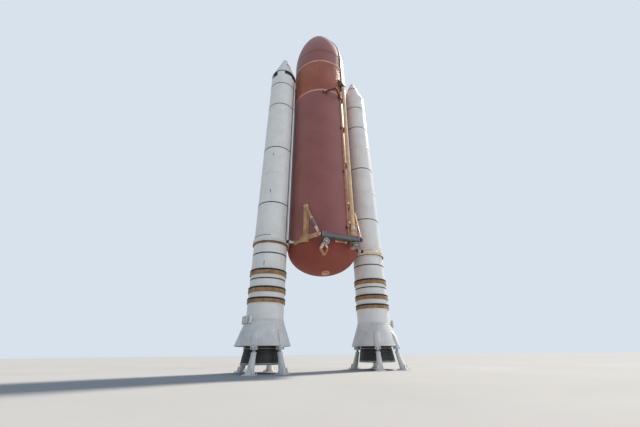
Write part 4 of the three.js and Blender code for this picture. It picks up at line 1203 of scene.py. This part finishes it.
def nose_cap(hand, axis):
    """The rounded cap on a booster's nose."""
    foot, tip = booster_height(CAP_BASE) + GAP, booster_height(CAP_TIP)
    cap = spun([
        (0, foot),
        (CAP_RADIUS, foot),
        (CAP_RADIUS, foot + 3.5),
        (CAP_RADIUS - 0.9, foot + 3.9),
        (13.6, tip - 12),
        (12.9, tip - 9.6),
        (11.6, tip - 6.9),
        (9.8, tip - 4.5),
        (7.4, tip - 2.5),
        (4.6, tip - 1.0),
        (2.0, tip - 0.2),
        (0, tip),
    ], NOSE_CAP_SIDES)
    seam = coated(band(15.7, 0.25, tip - 17.5, tip - 18.5, 0.2, NOSE_CAP_SIDES, 2), 1)
    bolts = stud_row(32, CAP_RADIUS + 0.15, foot + 1.8, 0.6, 0.7)
    new_piece(f"{hand}_nose_cap_shell", gather(cap, seam, bolts), [BOOSTER_WHITE, SEALANT],
              [f"{hand}_nose_cap"], axis)


def frustum(hand, side, axis):
    """The cone under the nose cap, with the ports of its separation motors."""
    foot, top = booster_height(FRUSTUM_BASE) + GAP, booster_height(CAP_BASE)
    slope = (BOOSTER_RADIUS - CAP_RADIUS) / (top - foot)
    shapes = [spun([(0, foot), (BOOSTER_RADIUS, foot), (CAP_RADIUS, top), (0, top)], BOOSTER_SIDES)]
    for lift, height in ((0.6, 3.0), (40, 1.0), (80, 1.0), (top - foot - 4, 3.0)):
        radius = BOOSTER_RADIUS - slope * (lift + height / 2)
        shapes.append(band(radius, 0.5, foot + lift + height, foot + lift, 0.3, BOOSTER_SIDES, 2))
    # separation motor ports, four in a row below the nose cap
    height = booster_height(CAP_BASE + MOTOR_PORTS["drop"])
    radius = BOOSTER_RADIUS - slope * (height - foot)
    lean = Matrix.Rotation(-math.atan(slope), 3, "X")
    for azimuth in MOTOR_PORTS["azimuths"]:
        azimuth *= -side
        outward = turn(azimuth).to_3x3() @ (lean @ FRONT)
        spot = facing(azimuth, radius, height)
        lip = rod(spot - outward * 2, spot + outward * 1.6, MOTOR_PORTS["radius"], sides=28, soft=0.4)
        bore = rod(spot - outward, spot + outward * 2.4, MOTOR_PORTS["bore"], sides=28, soft=0.3)
        shapes += [lip, coated(bore, 2)]
    shapes.append(stud_row(60, BOOSTER_RADIUS - slope * 2.1 + 0.4, foot + 2.1, 0.6, 0.7))
    rim = band(BOOSTER_RADIUS - 0.6, 0.65, foot + 0.55, foot, 0.1, BOOSTER_SIDES, 2)
    shapes.append(coated(rim, 1 if hand == "left" else 0))
    new_piece(f"{hand}_frustum_shell", gather(*shapes), [BOOSTER_WHITE, SEALANT, BLACK_COAT],
              [f"{hand}_frustum"], axis)


def forward_skirt(hand, side, axis):
    """The cylinder under the frustum, with its half of the thrust fitting."""
    foot, top = booster_height(FORWARD_SKIRT_BASE) + GAP, booster_height(FRUSTUM_BASE)
    # edges of the black patches
    levels = [440, 428, 403]
    skin = spun([
        (0, foot),
        (BOOSTER_RADIUS, foot),
        *((BOOSTER_RADIUS, booster_height(station)) for station in levels),
        (BOOSTER_RADIUS, top),
        (0, top),
    ], FORWARD_SKIRT_SIDES)
    if hand == "left":
        for start, end, station in BLACK_PATCHES:
            painted_patch(skin, 1, booster_height(station), booster_height(levels[-1]), start, end)
    shapes = [skin]
    rim = band(BOOSTER_RADIUS, 1.2, top, booster_height(levels[-1]), 0.4, FORWARD_SKIRT_SIDES)
    shapes.append(coated(rim, 2 if hand == "left" else 0))
    for lift, height in ((0, 4), (31, 1.4), (58, 1.4)):
        shapes.append(band(BOOSTER_RADIUS, 0.7, foot + lift + height, foot + lift, 0.3, FORWARD_SKIRT_SIDES))
    shapes.append(coated(band(BOOSTER_RADIUS, 0.9, foot + 9, foot + 4.1, 0.2, FORWARD_SKIRT_SIDES), 1))
    for lift, count in ((2, 72), (33.5, 48), (60.5, 48), (78, 48)):
        shapes.append(stud_row(count, BOOSTER_RADIUS + 0.75, foot + lift, 0.55, 0.6))
    fitting = tank_height(THRUST_FITTING["station"])
    inner = BOOSTER_OFFSET - THRUST_FITTING["split"] - 0.1
    radius = THRUST_FITTING["radius"]
    for start, end, size in ((60, inner, radius - 1), (68, 74.6, radius + 3), (inner - 1.4, inner, radius)):
        start, end = ((-side * reach, 0, fitting) for reach in (start, end))
        shapes.append(rod(start, end, size, sides=48, soft=0.5))
    new_piece(f"{hand}_forward_skirt_shell", gather(*shapes), [BOOSTER_WHITE, BLACK_COAT, SEALANT],
              [f"{hand}_forward_skirt"], axis)


def casing(hand, name, stations, axis):
    """A motor segment: its skin, the raised field joint at its foot and its factory joint lines."""
    top, foot = booster_height(stations[0]), booster_height(stations[1]) + GAP
    shapes = [spun([(0, foot), (BOOSTER_RADIUS, foot), (BOOSTER_RADIUS, top), (0, top)], BOOSTER_SIDES)]
    shapes.append(casing_band(JOINT_RISE, foot + JOINT_BAND, foot, 0.5))
    shapes.append(casing_band(JOINT_RISE * 0.9, foot + JOINT_BAND + 0.9, foot + JOINT_BAND - 0.2, 0.2, 2))
    shapes.append(stud_row(90, BOOSTER_RADIUS + JOINT_RISE, foot + 3.4, 0.5, 0.5))
    for station in FACTORY_JOINTS[name]:
        shapes += factory_joint(station)
    # the aft center segment has two rows of dark marks below its factory joint
    if name == "aft_center_segment":
        for count, drop in ((60, 14), (30, 22)):
            marks = stud_row(count, BOOSTER_RADIUS, booster_height(FACTORY_JOINTS[name][0] + drop),
                             0.8, 0.9)
            shapes.append(coated(marks, 1))
    new_piece(f"{hand}_{name}_casing", gather(*shapes), [BOOSTER_WHITE, SEALANT, SKIRT_WHITE],
              [f"{hand}_{name}"], axis)


def casing_pads(axis):
    """Small dark pads, one above the other, up the front of the left booster's casing."""
    size = (CASING_PADS["width"], 1, CASING_PADS["height"])
    pads = []
    for station in CASING_PADS["stations"]:
        pad = block(size, (0, -BOOSTER_RADIUS - 0.1, booster_height(station)), 0.3)
        pads.append(turned(pad, CASING_PADS["azimuth"]))
    new_piece("left_casing_pads", gather(*pads), [SEALANT], axis=axis)


def factory_joint(station):
    """A line of sealant, its piece's second finish, between two low lips of the first."""
    middle = booster_height(station)
    half = (LOWEST_JOINT_LINE if station == FACTORY_JOINTS["aft_segment"][-1] else JOINT_LINE) / 2
    return [
        casing_band(0.6, middle + half, middle - half, 0.3, 1),
        casing_band(0.4, middle + half + 2, middle + half + 0.2, 0.2),
        casing_band(0.4, middle - half - 0.2, middle - half - 2, 0.2),
    ]


def aft_segment(hand, axis):
    """The lowest motor segment, with its stiffeners and the nozzle's socket."""
    cork, black = 2, 3
    top, foot = (booster_height(station) for station in AFT_SEGMENT)
    # a round socket in its foot takes the nozzle's bearing
    pivot = booster_height(PIVOT)
    rim_angle = math.acos((foot - pivot) / SOCKET_RADIUS)
    shapes = [spun([
        *arc(SOCKET_RADIUS, pivot, 0, rim_angle),
        (BOOSTER_RADIUS, foot),
        (BOOSTER_RADIUS, top),
        (0, top),
    ], BOOSTER_SIDES)]
    for station in FACTORY_JOINTS["aft_segment"]:
        shapes += factory_joint(station)
    for station, height, rise in STIFFENERS:
        upper = booster_height(station)
        lower, split = upper - height, upper - 4.2
        bolts = stud_row(60, BOOSTER_RADIUS + rise, upper - 0.5 * height, 0.6, 0.8)
        shapes += [
            casing_band(rise + 0.4, upper + 2.4, split, 0.8, black),
            casing_band(rise, split + 0.2, lower, 0.7, cork),
            casing_band(rise + 0.5, lower + 2.6, lower - 0.1, 0.5, cork),
            coated(bolts, cork),
        ]
    shapes.append(casing_band(0.8, foot + 5, foot + 0.2, 0.4))
    new_piece(f"{hand}_aft_segment_casing", gather(*shapes),
              [BOOSTER_WHITE, SEALANT, CORK, BLACK_COAT],
              [f"{hand}_aft_segment"], axis)


def systems_tunnel(hand, axis):
    """Covers of the cable tunnel, end to end, on two lines of dark sealant."""
    shapes = []
    top, foot = booster_height(TUNNEL["top"]), booster_height(TUNNEL["bottom"])
    length = (top - foot) / TUNNEL["covers"]
    azimuth = TUNNEL["azimuths"][hand]
    depth = TUNNEL["rise"] + 2
    away = BOOSTER_RADIUS + TUNNEL["rise"] - depth / 2
    for i in range(TUNNEL["covers"]):
        middle = foot + (i + 0.5) * length
        cover = block((TUNNEL["width"], depth, length - 0.5), (0, -away, middle), 0.9)
        shapes.append(turned(cover, azimuth))
    for edge in (-1, 1):
        line = block((1.3, depth, top - foot - 1), (edge * (TUNNEL["width"] / 2 + 0.3), -away + 1.6,
                                                    (top + foot) / 2), 0.3)
        shapes.append(coated(turned(line, azimuth), 1))
    new_piece(f"{hand}_tunnel_covers", gather(*shapes), [BOOSTER_WHITE, SEALANT],
              [f"{hand}_systems_tunnel"], axis)


def attach_ring(hand, side, axis):
    """The ring that the aft struts end at, with the electronics boxes on it."""
    coat, dark, cork = range(1, 4)
    top, foot = booster_height(ATTACH_RING["top"]), booster_height(ATTACH_RING["bottom"])
    inner = BOOSTER_RADIUS + GAP
    outer = BOOSTER_RADIUS + ATTACH_RING["rise"]
    ring = spun([
        (inner, foot),
        (outer - 0.6, foot),
        (outer, foot + 0.6),
        (outer, foot + 3.6),
        (outer - 1.6, foot + 4.2),
        (outer - 1.6, top - 4.2),
        (outer, top - 3.6),
        (outer, top - 0.6),
        (outer - 0.6, top),
        (inner, top),
        (inner, foot),
    ], BOOSTER_SIDES)
    # the ring's lower flange and underside are painted shade: on the right ring the underside is dark olive,
    # on the left ring the lower flange is dark olive and the underside cork
    soffit, flange = (cork, dark) if hand == "left" else (dark, coat)
    for face in ring.faces:
        middle = face.calc_center_median().z
        if middle < foot + 0.5:
            face.material_index = soffit
        elif middle < foot + 4:
            face.material_index = flange
        elif middle < top - 4.3:
            face.material_index = coat
    shapes = [ring]
    # boxes for the electronics, on the side that faces the tank
    for azimuth, width in ((-side * 62, 26), (-side * 90, 18), (-side * 118, 26)):
        box = block((width, 3, 13), (0, -outer - 0.6, (top + foot) / 2), 0.9)
        shapes.append(turned(box, azimuth))
        lid = block((width - 5, 0.8, 9), (0, -outer - 2.2, (top + foot) / 2), 0.3)
        shapes.append(turned(lid, azimuth))
    # cork and a lip lead from the ring on to the casing; the left one has a row of dark dashes too, and its
    # cork band under the ring is painted shadow
    if hand == "right":
        shapes.append(casing_band(3.6, top + 9, top + 0.2, 1.4, coat))
        shapes.append(casing_band(2.6, top + 12.5, top + 9.2, 0.6))
    else:
        shapes.append(casing_band(1.6, top + 11, top + 0.2, 0.8))
        shapes.append(casing_band(1.8, foot - 0.1, foot - 5, 0.8, cork))
        for i in range(RING_DASHES["count"]):
            dash = block((2.4, 0.8, 2), (0, -BOOSTER_RADIUS - 1.3, top + 12), 0.2)
            shapes.append(coated(turned(dash, RING_DASHES["start"] + i * RING_DASHES["pitch"]), dark))
    for lift in (-3, 3):
        shapes.append(coated(stud_row(72, outer - 1.5, (top + foot) / 2 + lift, 0.6, 0.7), coat))
    face_coat = SKIRT_WHITE if hand == "left" else CREAM_CORK
    new_piece(f"{hand}_attach_ring_boxes", gather(*shapes),
              [BOOSTER_WHITE, face_coat, DARK_CORK, CORK], [f"{hand}_attach_ring"], axis)


# Aft skirts, curtains, nozzles and posts

def skirt_radius(height):
    """The flare's outer radius at a height."""
    foot, top = booster_height(SKIRT_STATION) + 5, booster_height(SKIRT["top"])
    share = (top - max(height, foot)) / (top - foot)
    return SKIRT["top_radius"] + (SKIRT["bottom_radius"] - SKIRT["top_radius"]) * share


def aft_skirt(hand, side, axis):
    """The flared skirt, with a forged post over each foot and four small motors."""
    foot, top = booster_height(SKIRT_STATION), booster_height(SKIRT["top"]) - GAP
    wall = SKIRT["wall"]
    shell = spun([
        (SKIRT["bottom_radius"] - wall, foot),
        (SKIRT["bottom_radius"], foot),
        (SKIRT["bottom_radius"], foot + 5),
        (SKIRT["top_radius"], top),
        (SKIRT["top_radius"] - wall, top),
        (SKIRT["bottom_radius"] - wall - 1, foot + 5),
        (SKIRT["bottom_radius"] - wall, foot),
    ], BOOSTER_SIDES)
    shapes = [shell]
    for lift, height, rise in ((0.3, 4.6, 0.9), (26, 2.2, 0.8), (50, 2.2, 0.8), (83, 4.6, 1.2)):
        radius = skirt_radius(foot + lift + height)
        shapes.append(band(radius, rise, foot + lift + height, foot + lift, 0.4, BOOSTER_SIDES, 1))
        shapes.append(stud_row(84, radius + rise, foot + lift + height / 2, 0.6, 0.7))
    # a forged post in the flare over each foot
    for azimuth in POST_AZIMUTHS.values():
        azimuth *= side
        shapes.append(slab([
            (FOOT["inner"], foot),
            (FOOT["outer"], foot),
            (FOOT["outer"], foot + FOOT["heel"]),
            (POST["away"] + 3, foot + FOOT["top"] + 10),
            (skirt_radius(foot + 56) + 0.6, foot + 56),
            (skirt_radius(foot + 56) - 1.6, foot + 56),
            (FOOT["inner"] + 6, foot + 14),
        ], FOOT["width"], azimuth, 1.2))
        for edge in (-1, 1):
            gusset = slab([
                (SKIRT["bottom_radius"] - 4, foot + 1),
                (SKIRT["bottom_radius"] + 2.4, foot + 1),
                (skirt_radius(foot + 30) + 0.4, foot + 30),
                (skirt_radius(foot + 30) - 1.6, foot + 30),
            ], 2, azimuth + edge * 8.2, 0.4)
            shapes.append(gusset)
    # separation motors standing on the upper flare, on the side away from the tank
    low, high = top - MOTORS["below"], top + MOTORS["above"]
    for azimuth in MOTORS["azimuths"]:
        azimuth *= side
        for start, end, size, finish in (
            (low, high, MOTORS["radius"], 0),
            (high - 6, high - 3.6, MOTORS["radius"] + 0.5, 0),
            (low + 3, low + 5, MOTORS["radius"] + 0.4, 0),
            (low - 0.4, low + 1, MOTORS["radius"] - 1.2, 1),
        ):
            motor = rod((0, -MOTORS["away"], start), (0, -MOTORS["away"], end), size, sides=32, soft=0.4)
            shapes.append(turned(coated(motor, finish), azimuth))
        cradle = block((9, 12, 5), (0, -MOTORS["away"] + 5, top + 2.4), 0.6)
        shapes.append(turned(cradle, azimuth))
    new_piece(f"{hand}_aft_skirt_shell", gather(*shapes), [SKIRT_WHITE, BLACK_COAT],
              [f"{hand}_aft_skirt"], axis)


def thermal_curtain(hand, axis):
    """A padded ring, sewn into wedges, that hangs between the skirt and the nozzle."""
    height = booster_height(CURTAIN["station"])
    outer = skirt_radius(height) - SKIRT["wall"] - 1.6
    inner = CURTAIN["hole"]
    thick = CURTAIN["thickness"]
    wedges, steps, across = CURTAIN["wedges"], 6, 8
    rows = []
    for i in range(across + 1):
        t = i / across
        radius = inner + (outer - inner) * t
        drop = CURTAIN["sag"] * (1 - t) ** 1.5
        rows.append((radius, height - drop))
    profile = rows + [(radius, z - thick) for radius, z in reversed(rows)] + [rows[0]]
    shape = spun(profile, wedges * steps)
    for vert in shape.verts:
        radius = math.hypot(vert.co.x, vert.co.y)
        t = (radius - inner) / (outer - inner)
        centre = height - CURTAIN["sag"] * max(0.0, 1 - t) ** 1.5 - thick / 2
        azimuth = math.degrees(math.atan2(vert.co.x, -vert.co.y))
        sewn = abs(math.sin(math.radians(azimuth) * wedges / 2)) ** 0.55
        hem = min(1.0, 4.5 * min(t, 1 - t) + 0.35)
        row = 0.72 + 0.28 * abs(math.sin(t * math.pi * 2)) ** 0.5
        vert.co.z = centre + (vert.co.z - centre) * (0.4 + 0.6 * sewn) * hem * row
    piece = new_piece(f"{hand}_curtain_quilt", shape, [CLOTH],
                      [f"{hand}_thermal_curtain"], axis, crease=60)


def nozzle(hand, axis):
    """The bell with its throat, exit ring and outer wraps, on the ball of its flexible bearing."""
    pivot = booster_height(PIVOT)
    inner = smoothed([(radius, booster_height(station)) for station, radius in BELL])
    outer = [(radius + NOZZLE_WALL, height) for radius, height in inner[10:]]
    outer[-1] = (outer[-1][0] - 0.7, outer[-1][1])
    bell = spun([
        (0, inner[0][1]),
        *inner,
        *reversed(outer),
        (34, booster_height(1853)),
        *arc(BALL_JOINT_RADIUS, pivot, math.radians(84), 0),
    ], NOZZLE_SIDES)
    for face in bell.faces:
        middle = face.calc_center_median()
        if face.normal.dot(Vector((middle.x, middle.y, 0))) < 0:
            face.material_index = 1
    shapes = [bell]
    for station, height, rise in NOZZLE_BANDS:
        z = booster_height(station)
        radius = NOZZLE_WALL + next(r for r, h in inner if h <= z)
        shapes.append(coated(band(radius - 0.3, rise, z, z - height, 0.2, NOZZLE_SIDES, 0.9), 2))
    new_piece(f"{hand}_nozzle_bell", gather(*shapes), [PHENOLIC, LINER, BARE_STEEL],
              [f"{hand}_nozzle"], axis, f"{hand}_nozzle")


def post(hand, side, corner, azimuth, axis):
    """A base plate with its bolts and gussets, a leaning pedestal, the hold-down nut and the shoe."""
    steel, dark = 1, 2
    shoe_foot = POST_HEIGHT - GAP - POST["shoe_height"]
    bolt_foot = shoe_foot - POST["bolt_height"]
    footing = POST["away"] + POST["lean"]
    plate = POST["plate"]
    shapes = [block((plate, plate, POST["plate_height"]), (0, -footing, POST["plate_height"] / 2), 0.4)]
    pedestal = gather(
        rod((0, 0, 1), (0, 0, bolt_foot), POST["bottom_radius"], POST["top_radius"], 48),
        rod((0, 0, bolt_foot - 8), (0, 0, bolt_foot + 0.1), POST["top_radius"] + 1.6, sides=48, soft=0.5),
        rod((0, 0, 3), (0, 0, 6), POST["bottom_radius"] + 1.4, sides=48, soft=0.6),
    )
    leaning = Matrix.Identity(4)
    leaning[1][2] = POST["lean"] / bolt_foot
    bmesh.ops.transform(pedestal, matrix=Matrix.Translation((0, -footing, 0)) @ leaning,
                        verts=pedestal.verts)
    shapes.append(pedestal)
    for quarter in range(4):
        fin = slab([
            (POST["top_radius"] - 2, 2),
            (plate * 0.44, 2),
            (plate * 0.44, 5),
            (POST["bottom_radius"] - 1, 20),
            (POST["top_radius"] - 2, 20),
        ], 1.8, 90 * quarter + 45, 0.3)
        bmesh.ops.translate(fin, vec=(0, -footing, 0), verts=fin.verts)
        shapes.append(fin)
    spots = [((x * plate * 0.4, -footing + y * plate * 0.4, POST["plate_height"] + 1), (0, 0, 1))
             for x in (-1, 1) for y in (-1, 1)]
    shapes.append(coated(studs(spots, 1.9, 2.4), steel))
    spots = [(Vector(spot) + Vector((0, 0, 2)), up) for spot, up in spots]
    shapes.append(coated(studs(spots, 1.0, 2.6, 12), steel))
    y, radius = -POST["away"], POST["bolt_radius"]
    bolt = rod((0, y, bolt_foot - 1), (0, y, shoe_foot + 1), radius, sides=28)
    nut = rod((0, y, bolt_foot + 1.2), (0, y, bolt_foot + 5), radius + 2, sides=6, soft=0.3)
    shoe = block((POST["shoe"], POST["shoe"], POST["shoe_height"]),
                 (0, y, shoe_foot + POST["shoe_height"] / 2), 1.0)
    shapes += [coated(bolt, steel), coated(nut, steel), shoe]
    # each hole in the shoe is a dark sealant disc just proud of its face: painted shade standing for the
    # hollow
    for x in (-6, 6):
        spot = Vector((x, y - POST["shoe"] / 2, shoe_foot + POST["shoe_height"] * 0.45))
        hole = rod(spot + Vector((0, 1, 0)), spot - Vector((0, 0.3, 0)), 2.1, sides=20)
        shapes.append(coated(hole, dark))
    shape = turned(gather(*shapes), side * azimuth)
    new_piece(f"{hand}_{corner}_pedestal", shape, [POST_WHITE, BARE_STEEL, SEALANT],
              [f"{hand}_post_{corner}"], axis)


# What joins the tank and the boosters

def thrust_fitting(hand, side):
    """The tank's half of the fitting that carries a booster's thrust."""
    height = tank_height(THRUST_FITTING["station"])
    radius = THRUST_FITTING["radius"]
    inner, outer = side * (TANK_RADIUS - 3), side * (THRUST_FITTING["split"] - 0.1)
    shapes = [
        rod((inner, 0, height), (outer, 0, height), radius, sides=48, soft=0.4),
        rod((inner, 0, height), (outer - side * 2, 0, height), radius + 3.5, sides=48, soft=0.8),
    ]
    new_piece(f"thrust_fitting_{hand}_collar", gather(*shapes), [TAN_FOAM],
              [f"thrust_fitting_{hand}"])


def aft_strut(hand, side, end, y):
    """A strut between the tank's foot and a booster's ring, with its sleeves."""
    height = tank_height(AFT_STRUT["station"])
    ring = BOOSTER_RADIUS + ATTACH_RING["rise"] + GAP
    tank_end = math.sqrt(TANK_RADIUS ** 2 - y ** 2) + 0.2
    ring_end = BOOSTER_OFFSET - math.sqrt(ring ** 2 - y ** 2) - 0.1
    start, stop = Vector((side * (tank_end - 1.5), y, height)), Vector((side * (ring_end + 1.2), y, height))
    run = stop - start
    radius = AFT_STRUT["radius"]
    shapes = [
        rod(start, stop, radius - 0.4, sides=32),
        coated(rod(start, start + run * 0.09, radius + 4, radius + 1, 32), 2),
        rod(start + run * 0.2, start + run * 0.27, radius + 1.6, sides=32, soft=0.4),
        sphere(start + run * 0.52, radius + 1.8, 20),
        coated(rod(start + run * 0.72, start + run * 0.9, radius + 1.2, sides=32, soft=0.6), 1),
        coated(rod(start + run * 0.9, stop, radius + 2.4, sides=32, soft=0.6), 1),
    ]
    sleeve = SKIRT_WHITE if hand == "left" else CREAM_FOAM
    new_piece(f"aft_strut_{end}_{hand}_sleeve", gather(*shapes), [sleeve, BLACK_COAT, TAN_FOAM],
              [f"aft_strut_{end}_{hand}"])


nose_cone()
oxygen_tank()
flange_closeout("forward_flange_closeout", FORWARD_FLANGE)
intertank()
flange_closeout("aft_flange_closeout", AFT_FLANGE)
hydrogen_tank()
aft_dome()
feedline()
feedline_fairing()
nose_tray()
aft_tray()
bipod()
crossbeam()
hydrogen_lines()
for hand, side in HANDS.items():
    axis = Vector((side * BOOSTER_OFFSET, SETBACK, 0))
    aft_frame(hand, side)
    umbilical(hand, side)
    thrust_fitting(hand, side)
    for end, y in AFT_STRUT["offsets"].items():
        aft_strut(hand, side, end, y)
    nose_cap(hand, axis)
    frustum(hand, side, axis)
    forward_skirt(hand, side, axis)
    for name, stations in SEGMENTS.items():
        casing(hand, name, stations, axis)
    if hand == "left":
        casing_pads(axis)
    aft_segment(hand, axis)
    attach_ring(hand, side, axis)
    systems_tunnel(hand, axis)
    aft_skirt(hand, side, axis)
    thermal_curtain(hand, axis)
    nozzle(hand, axis)
    for corner, azimuth in POST_AZIMUTHS.items():
        post(hand, side, corner, azimuth, axis)
    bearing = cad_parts[f"{hand}_nozzle_bearing"]
    bearing.data.materials.clear()
    bearing.data.materials.append(PHENOLIC)


# Floor, sky and lights

def floor():
    """A pale round floor, 120 m across, so that its edge lies far behind the model."""
    made, tree, shader, spot = material("pale studio floor", 0.9)
    clouds = add(tree, "TexNoise", {"Vector": spot, "Scale": 0.8, "Detail": 4})
    tone = add(tree, "ValToRGB", {"Fac": clouds.outputs[0]}, [(0.3, "#9b9d9e"), (0.7, "#a2a4a5")])
    tree.links.new(tone.outputs[0], shader.inputs["Base Color"])
    shape = bmesh.new()
    bmesh.ops.create_circle(shape, cap_ends=True, segments=96, radius=60)
    mesh = bpy.data.meshes.new("floor")
    shape.to_mesh(mesh)
    shape.free()
    mesh.materials.append(made)
    ground = bpy.data.objects.new("floor", mesh)
    bpy.context.scene.collection.objects.link(ground)


def distant_lamp(name, azimuth, elevation, softness, strength, colour):
    """A far lamp at an azimuth and elevation, as soft as the angle that it fills."""
    light = bpy.data.lights.new(name, "SUN")
    light.angle = math.radians(softness)
    light.energy = strength
    light.color = shade_of(colour)[:3]
    holder = bpy.data.objects.new(name, light)
    place = facing(azimuth, math.cos(math.radians(elevation)), math.sin(math.radians(elevation)))
    holder.rotation_euler = place.to_track_quat("Z", "Y").to_euler()
    bpy.context.scene.collection.objects.link(holder)


floor()
world = bpy.data.worlds.new("studio")
world.use_nodes = True
room_light = world.node_tree.nodes["Background"]
room_light.inputs["Color"].default_value = shade_of("#d6e8fc")
room_light.inputs["Strength"].default_value = 0.54
backdrop = add(world.node_tree, "Background", {"Color": shade_of("#d8e2ec"), "Strength": 1.0})
seen = add(world.node_tree, "MixShader", {
    0: add(world.node_tree, "LightPath").outputs["Is Camera Ray"],
    1: room_light.outputs[0],
    2: backdrop.outputs[0],
})
world.node_tree.links.new(seen.outputs[0], world.node_tree.nodes["World Output"].inputs[0])
bpy.context.scene.world = world
distant_lamp("key", azimuth=106, elevation=54, softness=6, strength=5.8, colour="#fff3e4")
distant_lamp("front right fill", azimuth=38, elevation=25, softness=70, strength=0.55,
             colour="#f2f6ff")
bpy.context.scene.view_settings.view_transform = "Standard"
